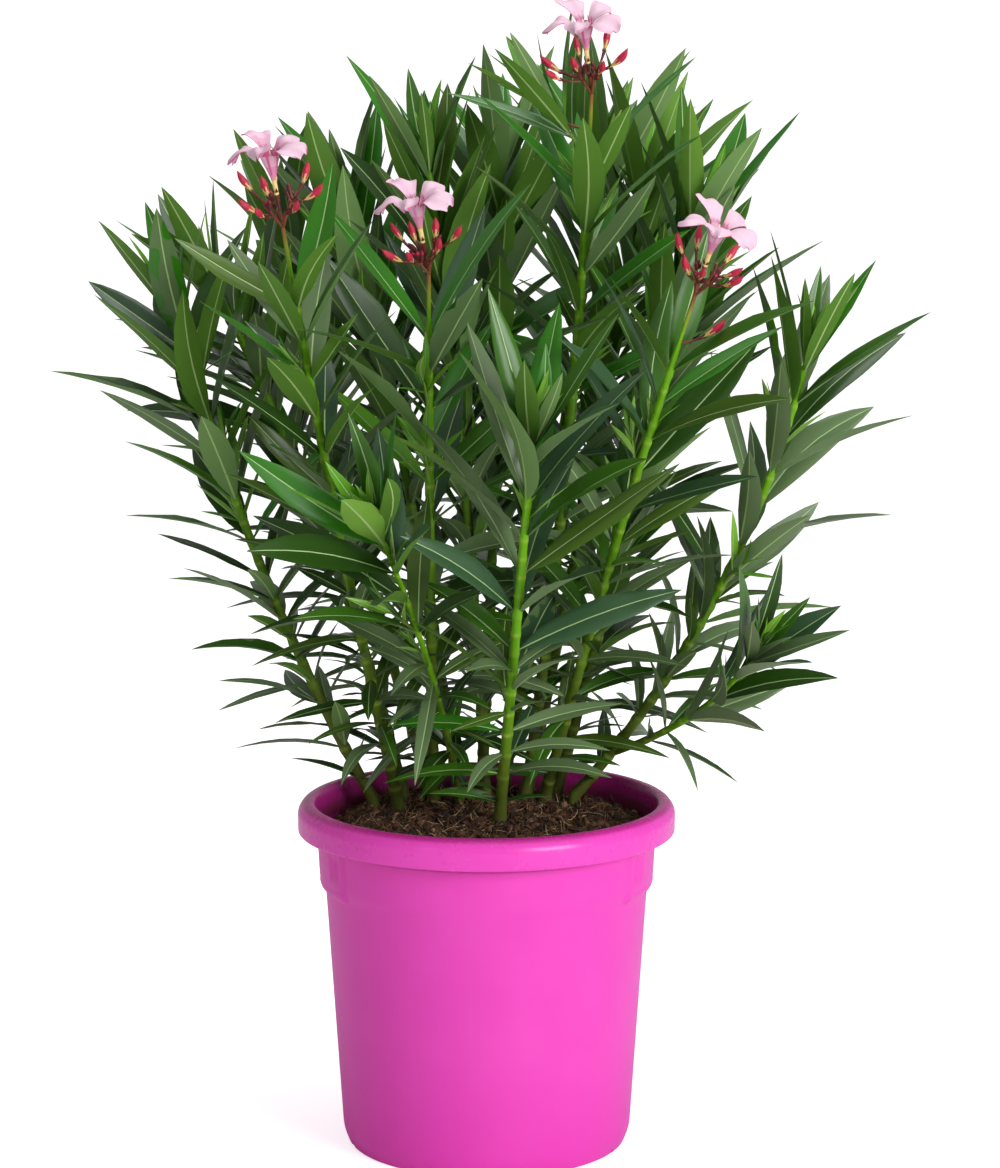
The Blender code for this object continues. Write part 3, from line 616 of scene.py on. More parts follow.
# Leaf colours: upper faces, lower faces, ribs and stalks
UPPER = {
    "deep": (38, 72, 14), "mid": (56, 104, 18), "olive": (74, 104, 32), "cool": (56, 88, 56),
    "rich": (48, 118, 14), "dusty": (98, 122, 80), "fresh": (96, 160, 30),
    "bright": (124, 180, 50),
}
UNDER = {
    "grey": (92, 120, 72), "sage": (106, 140, 78), "moss": (82, 124, 38), "lime": (110, 156, 56),
    "ash": (106, 130, 86),
}
RIBS = {"rib": (168, 198, 136), "rib_under": (160, 188, 118), "stalk": (126, 166, 52)}
LEAF_SLOTS = [*UPPER, *UNDER, *RIBS]

CRUMB_TONES = ((36, 22, 14), (56, 34, 22), (78, 48, 32), (100, 68, 46), (132, 104, 76))
FIBRE_TONES = ((92, 58, 38), (64, 40, 26), (128, 90, 58), (160, 124, 84), (200, 172, 130))
CHIP_TONES = ((72, 48, 32), (112, 82, 54), (158, 128, 90))

BLOSSOM = {
    "petal_light": (229, 191, 210), "petal_blush": (223, 170, 195), "petal_pink": (216, 134, 172),
    "petal_rose": (214, 92, 142), "throat": (204, 66, 108), "cream": (238, 212, 140),
    "peach": (226, 150, 120), "crimson": (190, 32, 66), "wine": (128, 22, 44),
    "gold": (216, 196, 108), "calyx": (96, 36, 32), "twig_red": (120, 62, 42),
    "twig_green": (118, 128, 50), "filament": (240, 226, 204),
}


def leaf_materials():
    """Plain leaf colours: glossier above, duller below."""
    materials = [shader_of("leaf_" + key, linear(*UPPER[key]), 0.34, 0.47) for key in UPPER]
    materials += [shader_of("leaf_under_" + key, linear(*UNDER[key]), 0.56, 0.30) for key in UNDER]
    materials += [shader_of("leaf_" + key, linear(*RIBS[key]), 0.50) for key in RIBS]
    return materials


def tone_materials(kind, roughness, tones):
    """Plain browns for bits of soil, numbered in the order of their tones."""
    return [shader_of("%s_%d" % (kind, k), linear(*tone), roughness)
            for k, tone in enumerate(tones)]


def blossom_materials():
    """Plain petal, bud and stalk colours."""
    return [shader_of(key, linear(*BLOSSOM[key]), 0.55) for key in BLOSSOM]


# --- Pot --------------------------------------------------------------------

def soften(corners, steps=5):
    """Round each corner of a half section with a parabola between its two cut points.

    A corner is (radius, height, cut), the cut being how far along each side it starts.
    """
    corners = np.array(corners)
    points = [corners[0, :2]]
    for before, here, after in zip(corners[:-2], corners[1:-1], corners[2:]):
        start = here[:2] + (before[:2] - here[:2]) * here[2] / np.linalg.norm(before[:2] - here[:2])
        end = here[:2] + (after[:2] - here[:2]) * here[2] / np.linalg.norm(after[:2] - here[:2])
        for share in np.linspace(0.0, 1.0, steps):
            points.append((1 - share) ** 2 * start + 2 * share * (1 - share) * here[:2]
                          + share ** 2 * end)
    points.append(corners[-1, :2])
    return np.array(points)


def pot_section():
    """Half section of the pot, from the middle of the underside round to the floor inside."""
    corners = [
        (0.0020, 0.0012, 0.0), (0.0860, 0.0012, 0.0008), (0.0875, 0.0, 0.0005),
        (FOOT_RADIUS, 0.0, 0.0014), (BODY_FOOT_RADIUS, 0.0095, 0.0045),
        (BODY_TOP_RADIUS, BODY_TOP, 0.0022), (COLLAR_FOOT_RADIUS, COLLAR_FOOT, 0.0026),
        (COLLAR_TOP_RADIUS, RIM_FOOT + 0.0012, 0.0012), (RIM_RADIUS - 0.0002, RIM_FOOT, 0.0016),
        (RIM_RADIUS, RIM_CREST - 0.0062, 0.0030), (RIM_CREST_RADIUS + 0.0026, RIM_CREST, 0.0036),
        (RIM_INNER_RADIUS + 0.0016, RIM_CREST, 0.0022), (RIM_INNER_RADIUS, RIM_CREST - 0.0046, 0.0020),
        (COLLAR_FOOT_RADIUS - WALL, COLLAR_FOOT - 0.001, 0.0020),
        (BODY_TOP_RADIUS - WALL, BODY_TOP - 0.001, 0.0020),
        (BODY_FOOT_RADIUS - WALL, BODY_FOOT, 0.0030), (FOOT_RADIUS - WALL - 0.001, FLOOR, 0.0010),
        (0.0020, FLOOR, 0.0),
    ]
    return soften(corners)


def along_section(section, spacing=0.0035):
    """The same half section with extra points on its long straight runs."""
    points = [section[0]]
    for here, there in zip(section[:-1], section[1:]):
        count = max(1, math.ceil(np.linalg.norm(there - here) / spacing))
        for k in range(1, count + 1):
            points.append(here + (there - here) * k / count)
    return np.array(points)


def grip_relief(angle, height):
    """How far the collar stands out: a panel on each side, with ribs near its ends.

    The panel is 1.4 mm proud over 33 degrees each way from the side and keeps the
    collar's line down to 4 mm above the body's top, where the wall itself has come in.
    Between 24 and 32 degrees a window is sunk in it with two upright bars left standing.
    """
    aside = np.degrees(np.abs(np.arcsin(np.clip(np.sin(angle), -1.0, 1.0))))
    low = height - COLLAR_FOOT
    high = RIM_FOOT - height
    panel = ease(*GRIP_EDGE, aside) * ease(0.0022, 0.0036, high)
    panel = panel * ease(BODY_TOP - 0.0012, BODY_TOP + 0.0036, height)
    drawn_in = np.clip(-low / (COLLAR_FOOT - BODY_TOP), 0.0, 1.0)
    drawn_in = drawn_in * (COLLAR_FOOT_RADIUS - BODY_TOP_RADIUS)
    window = ease(*WINDOW_NEAR, aside) * ease(*WINDOW_FAR, aside)
    window = window * ease(0.0062, 0.0070, low) * ease(0.0062, 0.0070, high)
    bars = ease(0.15, 0.5, np.cos(np.radians((aside - WINDOW_BAR) * 360.0 / BAR_PITCH)))
    sunk = WINDOW_DEPTH * window * (1.0 - bars)
    ledge = ease(40.0, 34.0, aside) * hump(height, BODY_TOP - 0.0075, 0.0011)
    return (GRIP_PROUD + drawn_in) * panel - sunk + LEDGE_PROUD * ledge


def drain_cutters():
    """Round holes through the floor, and notches under the edge of the foot."""
    cutters = []
    for k in range(DRAIN_HOLES):
        angle = 2.0 * math.pi * (k + 0.5) / DRAIN_HOLES
        centre = (DRAIN_CIRCLE * math.cos(angle), DRAIN_CIRCLE * math.sin(angle), FLOOR / 2)
        bpy.ops.mesh.primitive_cylinder_add(
            vertices=DRAIN_SIDES, radius=DRAIN_RADIUS, depth=0.02, location=centre)
        cutters.append(bpy.context.object)
    for k in range(NOTCHES):
        angle = 2.0 * math.pi * (k + NOTCH_TURN) / NOTCHES
        centre = (BODY_FOOT_RADIUS * math.cos(angle), BODY_FOOT_RADIUS * math.sin(angle), 0.0)
        bpy.ops.mesh.primitive_cube_add(size=1.0, location=centre, rotation=(0, 0, angle))
        cutters.append(bpy.context.object)
        cutters[-1].scale = (NOTCH_DEPTH, NOTCH_WIDTH, 2.0 * NOTCH_HEIGHT)
    return cutters


def cut_away(thing, cutters):
    """Take the cutters' shapes out of a piece, then remove them."""
    group = bpy.data.collections.new("cutters")
    bpy.context.scene.collection.children.link(group)
    for cutter in cutters:
        for home in list(cutter.users_collection):
            home.objects.unlink(cutter)
        group.objects.link(cutter)
    modifier = thing.modifiers.new("cut", "BOOLEAN")
    modifier.operation = "DIFFERENCE"
    modifier.operand_type = "COLLECTION"
    modifier.collection = group
    graph = bpy.context.evaluated_depsgraph_get()
    finished = bpy.data.meshes.new_from_object(thing.evaluated_get(graph))
    thing.modifiers.remove(modifier)
    thing.data = finished
    for cutter in cutters:
        bpy.data.objects.remove(cutter, do_unlink=True)
    bpy.data.collections.remove(group)
    finished.set_sharp_from_angle(angle=math.radians(50.0))


def make_pot(plastic):
    """The half section turned round Z, its outer collar moved out by the grips' relief.

    Towards the front and back the step under the collar fades to half its depth.
    """
    section = along_section(pot_section())
    radius = section[:, 0][:, None]
    height = section[:, 1][:, None]
    angle = circle(POT_STEPS)[None, :]
    outer = np.zeros(len(section))
    start = np.argmax((section[:, 1] > BODY_FOOT) & (section[:, 0] > BODY_FOOT_RADIUS - 0.002))
    stop = np.argmax(section[:, 1] > RIM_FOOT - 0.0015)
    outer[start:stop] = 1.0
    relief = grip_relief(angle, height) * outer[:, None]
    front = np.abs(np.sin(angle)) ** 3
    fill = 0.0011 * front * hump(height, BODY_TOP - 0.001, 0.006) * outer[:, None]
    shape = Shape()
    shape.add_closed(revolve(radius + relief + fill, angle, height))
    pot = shape.build("pot_body", [plastic], stands_for=("pot",), angle=50.0)
    cut_away(pot, drain_cutters())


# --- Soil -------------------------------------------------------------------

SOIL_WAVES = Noise(5)
SOIL_CLODS = Noise(6)
SOIL_GRIT = Noise(7)


def soil_height(x, y):
    """Height of the soil: a low dome that drops at the wall, with clods and grit on it."""
    radius = np.hypot(x, y)
    dome = SOIL_TOP - 0.0022 - SOIL_EDGE_DROP * ease(0.085, 0.111, radius)
    waves = 0.0026 * SOIL_WAVES.at(x * 34.0 + 9.3, y * 34.0 + 4.1)
    clods = 0.0022 * SOIL_CLODS.at(x * 115.0, y * 115.0 + 31.7)
    grit = 0.0010 * SOIL_GRIT.at(x * 400.0 + 7.7, y * 400.0)
    return dome + waves + clods + grit


def make_soil_bed(peat):
    """A disc of soil whose top follows the soil's height, closed by a side and a flat foot."""
    angle = circle(SOIL_STEPS)[None, :]
    radius = np.linspace(0.0006, SOIL_EDGE_RADIUS, SOIL_RINGS)[:, None]
    top = revolve(radius, angle, 0.0)
    top[..., 2] = soil_height(top[..., 0], top[..., 1])
    reach, height = np.array(SOIL_WALL).T[:, :, None]
    shape = Shape()
    shape.add_closed(np.concatenate([top, revolve(reach, angle, height)]))
    shape.build("soil_bed", [peat], stands_for=("soil",), angle=80.0)


ICOSAHEDRON = np.array([
    (0, 11, 5), (0, 5, 1), (0, 1, 7), (0, 7, 10), (0, 10, 11), (1, 5, 9), (5, 11, 4), (11, 10, 2),
    (10, 7, 6), (7, 1, 8), (3, 9, 4), (3, 4, 2), (3, 2, 6), (3, 6, 8), (3, 8, 9), (4, 9, 5),
    (2, 4, 11), (6, 2, 10), (8, 6, 7), (9, 8, 1)])


def icosahedron_points():
    """Its twelve corners: the even turns of (0, 1, golden ratio) with either sign."""
    gold = (1.0 + math.sqrt(5.0)) / 2.0
    corners = [(-1, gold, 0), (1, gold, 0), (-1, -gold, 0), (1, -gold, 0),
               (0, -1, gold), (0, 1, gold), (0, -1, -gold), (0, 1, -gold),
               (gold, 0, -1), (gold, 0, 1), (-gold, 0, -1), (-gold, 0, 1)]
    corners = np.array(corners, dtype=float)
    return corners / np.linalg.norm(corners[0])


def random_turns(count, draw):
    """Random rotation matrices, from random unit quaternions."""
    q = draw.normal(size=(count, 4))
    q /= np.linalg.norm(q, axis=1)[:, None]
    w, x, y, z = q.T
    return np.stack([
        np.stack([1 - 2 * (y * y + z * z), 2 * (x * y - z * w), 2 * (x * z + y * w)], -1),
        np.stack([2 * (x * y + z * w), 1 - 2 * (x * x + z * z), 2 * (y * z - x * w)], -1),
        np.stack([2 * (x * z - y * w), 2 * (y * z + x * w), 1 - 2 * (x * x + y * y)], -1)], 1)


def scatter(count, draw, reach):
    """Points spread evenly over a disc, a golden angle apart, then shaken a little."""
    k = np.arange(count) + 0.5
    radius = reach * np.sqrt(k / count)
    angle = k * math.pi * (3.0 - math.sqrt(5.0))
    x = radius * np.cos(angle) + draw.normal(0.0, 0.0016, count)
    y = radius * np.sin(angle) + draw.normal(0.0, 0.0016, count)
    keep = np.hypot(x, y) < reach
    return x[keep], y[keep]


def make_soil_crumbs(browns):
    """Twenty-sided lumps, stretched and dented at random, half sunk in the soil."""
    draw = np.random.default_rng(SEED)
    x, y = scatter(CRUMBS, draw, 0.1085)
    count = len(x)
    size = 0.0006 + 0.0030 * draw.random(count) ** 4.0
    scale = size[:, None] * draw.uniform(0.6, 1.35, (count, 3))
    dents = draw.uniform(0.72, 1.15, (count, 12, 1))
    points = icosahedron_points()[None] * dents * scale[:, None, :]
    points = np.einsum("nij,nkj->nki", random_turns(count, draw), points)
    centre = np.stack([x, y, soil_height(x, y) + 0.25 * size], -1)
    points += centre[:, None, :]
    slots = np.repeat(draw.choice(5, count, p=(0.30, 0.32, 0.24, 0.11, 0.03)), len(ICOSAHEDRON))
    shape = Shape()
    shape.add(points, repeat_faces(ICOSAHEDRON, count, 12), slots)
    shape.build("soil_crumbs", browns, angle=70.0)


def make_soil_fibres(straws):
    """Coir fibres: thin three-sided tubes along loose arcs that lie on the soil.

    A fibre's middle line is an arc in plan whose turn grows along it, and it rides a
    hair above the soil, with one end lifted.
    """
    draw = np.random.default_rng(SEED + 1)
    x, y = scatter(FIBRES, draw, 0.106)
    count = len(x)
    length = (0.004 + 0.022 * draw.random(count) ** 2)[:, None]
    share = np.linspace(-0.5, 0.5, 7)[None, :]
    heading = draw.uniform(0.0, 2.0 * math.pi, (count, 1)) + draw.normal(0.0, 2.6, (count, 1)) * share
    step = length / 6
    middle = heading[:, 3:4]
    path_x = x[:, None] + np.cumsum(np.cos(heading) * step, axis=1) - length * 0.5 * np.cos(middle)
    path_y = y[:, None] + np.cumsum(np.sin(heading) * step, axis=1) - length * 0.5 * np.sin(middle)
    keep = (np.hypot(path_x, path_y) < 0.1095).all(axis=1)
    path_x, path_y, heading = path_x[keep], path_y[keep], heading[keep]
    count = len(path_x)
    lift = draw.uniform(0.0, 1.0, count)[:, None] ** 3 * 0.008 * (share + 0.5) ** 2
    path_z = soil_height(path_x, path_y) + 0.0006 + lift
    girth = draw.uniform(0.00010, 0.00030, count)[:, None, None] * (1.0 - 1.2 * share[..., None] ** 2)
    corner = circle(3)
    across = np.stack([-np.sin(heading), np.cos(heading), np.zeros_like(heading)], -1)
    up = np.array([0.0, 0.0, 1.0])
    ring = (np.cos(corner)[:, None] * across[:, :, None, :] + np.sin(corner)[:, None] * up)
    points = np.stack([path_x, path_y, path_z], -1)[:, :, None, :] + ring * girth[..., None]
    quads = grid_faces(7, 3, ring=True)
    caps = np.array([(0, 1, 2), (20, 19, 18)])
    quads, caps = facing_out(points[0], quads, caps)
    tone = draw.choice(5, count, p=(0.24, 0.32, 0.20, 0.14, 0.10))
    shape = Shape()
    shape.add(points, repeat_faces(quads, count, 21), np.repeat(tone, len(quads)))
    shape.add_faces(repeat_faces(caps, count, 21), np.repeat(tone, len(caps)))
    shape.build("soil_fibres", straws, angle=100.0)


def make_soil_chips(woods):
    """Bits of wood and husk: flat six-cornered plates with a bent middle, lying on the soil."""
    draw = np.random.default_rng(SEED + 2)
    x, y = scatter(CHIPS, draw, 0.104)
    count = len(x)
    length = draw.uniform(0.003, 0.011, count)[:, None]
    width = length * draw.uniform(0.18, 0.5, (count, 1))
    corner_x = np.array([-0.5, -0.18, 0.20, 0.5, 0.22, -0.24])[None, :] * length
    corner_y = np.array([0.04, 0.5, 0.42, -0.06, -0.5, -0.4])[None, :] * width
    corner_x = corner_x * draw.uniform(0.8, 1.2, (count, 6))
    corner_y = corner_y * draw.uniform(0.7, 1.3, (count, 6))
    thick = draw.uniform(0.0005, 0.0012, count)[:, None]
    turn = draw.uniform(0.0, 2.0 * math.pi, count)[:, None]
    tilt_x = draw.normal(0.0, 0.35, count)[:, None]
    tilt_y = draw.normal(0.0, 0.35, count)[:, None]
    plan_x = corner_x * np.cos(turn) - corner_y * np.sin(turn)
    plan_y = corner_x * np.sin(turn) + corner_y * np.cos(turn)
    slope = plan_x * tilt_x + plan_y * tilt_y
    centre = soil_height(x, y)[:, None] + 0.0011
    high = np.stack([x[:, None] + plan_x, y[:, None] + plan_y, centre + slope + thick / 2], -1)
    low = high - np.stack([np.zeros_like(thick), np.zeros_like(thick), thick], -1)
    points = np.concatenate([high, low], axis=1)
    around = np.arange(6)
    after = (around + 1) % 6
    sides = np.stack([around, around + 6, after + 6, after], -1)
    lids = np.array([(0, 5, 4, 1), (1, 4, 3, 2), (6, 7, 10, 11), (7, 8, 9, 10)])
    faces, = facing_out(points[0], np.concatenate([sides, lids]))
    tone = draw.choice(3, count, p=(0.5, 0.32, 0.18))
    shape = Shape()
    shape.add(points, repeat_faces(faces, count, 12), np.repeat(tone, len(faces)))
    shape.build("soil_chips", woods, angle=30.0)


# --- Growth rule ------------------------------------------------------------

def unit(vector):
    return vector / np.linalg.norm(vector)


def is_branch(name):
    return isinstance(CANES[name].foot[0], str)


def foot_point(name):
    """Where a cane's axis starts: on the soil, or in the middle of its parent cane."""
    if is_branch(name):
        return axis_point(*CANES[name].foot)
    return np.array([*CANES[name].foot, SOIL_TOP + GAP])


def axis_point(name, share):
    """A point on a cane's axis: a parabola from foot to tip, its middle swung out by the bow."""
    cane = CANES[name]
    foot = foot_point(name)
    tip = np.array(cane.tip)
    middle = (foot + tip) / 2 + np.array(cane.bow)
    return (1 - share) ** 2 * foot + 2 * share * (1 - share) * middle + share ** 2 * tip


def axis_direction(name, share):
    step = 0.002
    return unit(axis_point(name, min(share + step, 1.0)) - axis_point(name, max(share - step, 0.0)))


def axis_length(name):
    shares = np.linspace(0.0, 1.0, 33)
    points = np.array([axis_point(name, share) for share in shares])
    return float(np.linalg.norm(np.diff(points, axis=0), axis=1).sum())


def limb_radius(name, share):
    """A cane tapers evenly to just over half its girth, and a flower's stalk is thinner still."""
    cane = CANES[name]
    radius = cane.girth * (1.0 - 0.42 * share)
    if cane.ending == "flower":
        last = 1.0 - PEDUNCLE / axis_length(name)
        if share > last:
            radius *= 0.62
    return radius


def cross_axes(direction):
    """Two unit vectors square to a direction, the first as near to +X as it can be."""
    across = np.array([1.0, 0.0, 0.0])
    first = unit(across - across.dot(direction) * direction)
    return first, np.cross(direction, first)


def spoke(direction, angle):
    """The unit vector square to a direction that stands at an angle round it."""
    first, second = cross_axes(direction)
    return math.cos(angle) * first + math.sin(angle) * second


def tube(rings, sides):
    """Points and faces of a closed tube through (centre, direction, radius) rings."""
    points = []
    for centre, direction, radius in rings:
        for k in range(sides):
            points.append(centre + radius * spoke(direction, 2.0 * math.pi * k / sides))
    faces = []
    for ring in range(len(rings) - 1):
        for k in range(sides):
            a = ring * sides + k
            b = ring * sides + (k + 1) % sides
            faces.append((a, b, b + sides, a + sides))
    faces.append(list(reversed(range(sides))))
    faces.append([(len(rings) - 1) * sides + k for k in range(sides)])
    return points, faces


def spindle(root, tip, side, thick, middle):
    """A plain leaf, petal or bud: root, four corners round its middle, tip; eight faces."""
    points = [root, middle - side, middle + thick, middle + side, middle - thick, tip]
    faces = []
    for k in range(4):
        here = 1 + k
        there = 1 + (k + 1) % 4
        faces += [(0, there, here), (5, here, there)]
    return points, faces


class Space:
    """What has been grown so far, and the test that a new leaf keeps clear of it."""

    def __init__(self):
        self.trees = []
        self.centres = []
        self.reaches = []
        self.limbs = {}

    def add_limb(self, name):
        """Claim a cane's space: its axis with LIMB_CLEARANCE round it."""
        shares = np.linspace(0.0, 1.0, 15)
        rings = [(axis_point(name, s), axis_direction(name, s),
                  limb_radius(name, s) + LIMB_CLEARANCE) for s in shares]
        self.limbs[name] = BVHTree.FromPolygons(*tube(rings, 8))

    def add(self, points, faces):
        """Claim the space of a plain solid, and note the ball round it for a quick test."""
        centre = np.mean(points, axis=0)
        self.trees.append(BVHTree.FromPolygons([tuple(p) for p in points], faces))
        self.centres.append(centre)
        self.reaches.append(max(np.linalg.norm(p - centre) for p in points))

    def is_free(self, name, points, faces):
        """Whether a solid crosses no other cane and nothing that has been claimed."""
        tree = BVHTree.FromPolygons([tuple(p) for p in points], faces)
        for other, limb in self.limbs.items():
            if other != name and tree.overlap(limb):
                return False
        if not self.trees:
            return True
        centre = np.mean(points, axis=0)
        reach = max(np.linalg.norm(p - centre) for p in points)
        apart = np.linalg.norm(np.array(self.centres) - centre, axis=1)
        near = np.nonzero(apart < np.array(self.reaches) + reach)[0]
        return not any(tree.overlap(self.trees[k]) for k in near)


def leaf_frame(direction, azimuth, spread, twist):
    """A leaf's own axes on a stem: along, across and out of its upper face."""
    radial = spoke(direction, azimuth)
    along = math.cos(spread) * direction + math.sin(spread) * radial
    face = math.sin(spread) * direction - math.cos(spread) * radial
    across = np.cross(along, face)
    turned = math.cos(twist) * across + math.sin(twist) * face
    return along, turned, np.cross(turned, along)


def leaf_corners(leaf):
    """Root, middle, half width, half thickness and tip of a bent and sagging leaf."""
    point, along, across, face, length, width, bend, sag = leaf

    def centre(share):
        drop = np.array([0.0, 0.0, -sag * length * share ** 2])
        return point + along * length * share - face * bend * length * share ** 2 + drop

    root = point - along * ROOT_DEPTH
    thick = face * LEAF_THICKNESS * length / 2
    return root, centre(LEAF_WIDEST), across * width / 2, thick, centre(1.0)


def leaf_sleeve(leaf, clearance):
    """The blade without its petiole, as a solid that is `clearance` larger all round."""
    root, middle, half, thick, tip = leaf_corners(leaf)
    length = np.linalg.norm(middle - root)
    cut = PETIOLE / length
    sides = [unit(half), unit(thick)]
    points = []
    for share in (cut, 1.0):
        centre = root + (middle - root) * share
        for sign in (-1, 1):
            for size, way in zip((half, thick), sides):
                points.append(centre + sign * (size * share + way * clearance))
    points.append(tip + unit(tip - middle) * clearance)
    ring = (0, 1, 2, 3)
    faces = [tuple(reversed(ring))]
    for k in ring:
        after = (k + 1) % 4
        faces += [(k, after, after + 4, k + 4), (k + 4, after + 4, 8)]
    return points, faces


def between(low, high, share):
    return low + (high - low) * min(max(share, 0.0), 1.0)


def leaf_habit(cane, share, rng):
    """Length, width, spread, bend and sag of a leaf `share` of the way up the leafy part."""
    grown = between(0.64, 1.0, share / 0.75) * between(1.0, 0.92, (share - 0.80) / 0.20)
    length = cane.leaf * grown * rng.uniform(0.86, 1.12)
    width = length * between(0.20, 0.26, share / 0.6) * rng.uniform(0.90, 1.08)
    opening = between(62.0, 44.0, share / 0.45) - between(0.0, 16.0, (share - 0.5) / 0.5)
    stray = between(22.0, 12.0, share / 0.6) * rng.uniform(-1.0, 1.0)
    spread = math.radians(opening + cane.open + stray)
    bend = between(0.16, 0.07, share) * rng.uniform(0.4, 1.5)
    sag = between(0.14, 0.02, share) * rng.uniform(0.5, 1.5)
    return length, width, spread, bend, sag


def try_leaf(space, name, point, direction, azimuth, habit, rng):
    """Place one leaf, turned aside or shortened a little where it would touch something."""
    length, width, spread, bend, sag = habit
    twist = math.radians(rng.uniform(-24.0, 24.0))
    for aside, rise, cut in ((0, 0, 1), (14, 0, 1), (-14, 0, 1), (0, 9, 1), (0, -9, 1),
                             (26, 5, 0.9), (-26, 5, 0.9), (10, -12, 0.85), (-10, 14, 0.85)):
        frame_axes = leaf_frame(direction, azimuth + math.radians(aside),
                                max(spread + math.radians(rise), math.radians(14)), twist)
        leaf = (point, *frame_axes, length * cut, width * cut, bend, sag)
        points, faces = leaf_sleeve(leaf, LEAF_CLEARANCE)
        if min(p[2] for p in points) > RIM_CREST + 0.002 and space.is_free(name, points, faces):
            space.add(*leaf_sleeve(leaf, 0.0))
            return leaf
    return None


def whorl_shares(name):
    """Shares of a cane's length where its whorls sit: closer together towards the tip."""
    cane = CANES[name]
    length = axis_length(name)
    last = 1.0 - (PEDUNCLE / length if cane.ending == "flower" else 0.012 / length)
    shares = []
    share = cane.bare
    while share < last:
        shares.append(share)
        progress = (share - cane.bare) / (last - cane.bare)
        share += between(INTERNODE_LOW, INTERNODE_HIGH, progress) / length
    return shares, last


def facing_front(direction, azimuth):
    """1 for a leaf that grows straight towards the crown's best side, 0 from sideways on."""
    return max(0.0, -spoke(direction, azimuth)[1])


def grow_whorls(space, name, rng):
    """The leaves of one cane as (progress, leaf), and its whorls as (share, azimuth)."""
    cane = CANES[name]
    shares, last = whorl_shares(name)
    leaves = []
    whorls = []
    azimuth = math.radians(cane.turn)
    for share in shares:
        progress = (share - cane.bare) / (last - cane.bare)
        point = axis_point(name, share)
        direction = axis_direction(name, share)
        whorls.append((share, azimuth))
        for k in range(WHORL):
            habit = leaf_habit(cane, progress, rng)
            around = azimuth + 2.0 * math.pi * k / WHORL + math.radians(rng.uniform(-12, 12))
            ahead = facing_front(direction, around)
            if rng.random() < FRONT_THINNING and ahead > 0.85:
                continue
            habit = (*habit[:2], habit[2] * (1.0 - FRONT_CLOSING * ahead), *habit[3:])
            leaf = try_leaf(space, name, point, direction, around, habit, rng)
            if leaf:
                leaves.append((progress, leaf))
        azimuth += math.radians(60.0 + rng.uniform(-6, 6))
    if cane.ending != "flower":
        leaves += grow_tuft(space, name, last, azimuth, rng)
    return leaves, whorls


def grow_tuft(space, name, last, azimuth, rng):
    """Young upright leaves round a growing tip."""
    cane = CANES[name]
    leaves = []
    for ring in range(TIP_TUFT):
        share = between(last, 1.0, (ring + 1) / (TIP_TUFT + 1))
        point = axis_point(name, share)
        direction = axis_direction(name, share)
        for k in range(WHORL):
            length = cane.leaf * between(0.80, 0.55, ring) * rng.uniform(0.9, 1.1)
            habit = (length, length * 0.21, math.radians(between(24, 15, ring)), 0.06, 0.0)
            around = azimuth + 2.0 * math.pi * k / WHORL
            leaf = try_leaf(space, name, point, direction, around, habit, rng)
            if leaf:
                leaves.append((1.1 + 0.1 * ring, leaf))
        azimuth += math.radians(60.0)
    return leaves


def shoot_rings(name, side):
    """A short side shoot that leaves the cane just under its truss."""
    share = 1.0 - (PEDUNCLE + SHOOT_START) / axis_length(name)
    start = axis_point(name, share)
    out, ahead, up = SHOOT_HEADING
    heading = unit(np.array([out * side, ahead * side, up]))
    return [(start + heading * SHOOT_LENGTH * share, heading, SHOOT_RADIUS)
            for share in (0.0, 0.5, 1.0)]


def grow_shoots(space, name, rng):
    """Leaves of the side shoots: two small whorls and a tuft on each."""
    leaves = []
    cane = CANES[name]
    for side in range(-1, cane.shoots - 1, 2) if cane.shoots else ():
        rings = shoot_rings(name, side)
        start, heading, _ = rings[0]
        for ring, run in enumerate((0.020, 0.031, 0.040)):
            for k in range(WHORL):
                length = cane.leaf * between(1.0, 0.60, ring / 2) * rng.uniform(0.9, 1.1)
                spread = math.radians(between(38, 16, ring / 2))
                habit = (length, length * 0.20, spread, 0.06, 0.01)
                around = math.radians(60.0 * ring + 120.0 * k + 30.0)
                leaf = try_leaf(space, name, start + heading * run, heading, around, habit, rng)
                if leaf:
                    leaves.append((0.95 + 0.1 * ring, leaf))
    return leaves


# --- Blossom rule -----------------------------------------------------------

def flower_axis(name):
    return unit(np.array([*CANES[name].nod, 1.0]))


def flower_parts(name):
    """The open flower's plain solids, which claim its space."""
    base = axis_point(name, 1.0) - axis_direction(name, 1.0) * 0.002
    along = flower_axis(name)
    throat = base + along * (FLOWER_STALK + FLOWER_TUBE)
    rings = [(base, along, 0.0012), (base + along * FLOWER_STALK, along, 0.0018),
             (throat, along, FLOWER_THROAT)]
    parts = [tube(rings, PETALS)]
    for k in range(PETALS):
        radial = spoke(along, 2.0 * math.pi * (k + 0.5) / PETALS)
        root = throat - along * 0.003 + radial * 0.001
        tip = throat + radial * PETAL_LENGTH + along * PETAL_RISE[k % 2]
        across = np.cross(along, radial) * PETAL_WIDTH / 2
        middle = root + (tip - root) * PETAL_WIDEST + along * PETAL_ARCH
        parts.append(spindle(root, tip, across, along * PETAL_THICKNESS / 2, middle))
    return parts


def bud_lines(name, count, reach, rng):
    """Root and tip of each bud with its stalk, fanned round the end of a cane."""
    base = axis_point(name, 1.0) - axis_direction(name, 1.0) * 0.003
    along = flower_axis(name)
    lines = []
    for k in range(count):
        angle = 2.0 * math.pi * (k + rng.uniform(-0.2, 0.2)) / count
        lean = math.radians(rng.uniform(30.0, 52.0)) if count > 1 else 0.1
        heading = math.cos(lean) * along + math.sin(lean) * spoke(along, angle)
        lines.append((base, base + heading * reach * rng.uniform(0.85, 1.12)))
    return lines


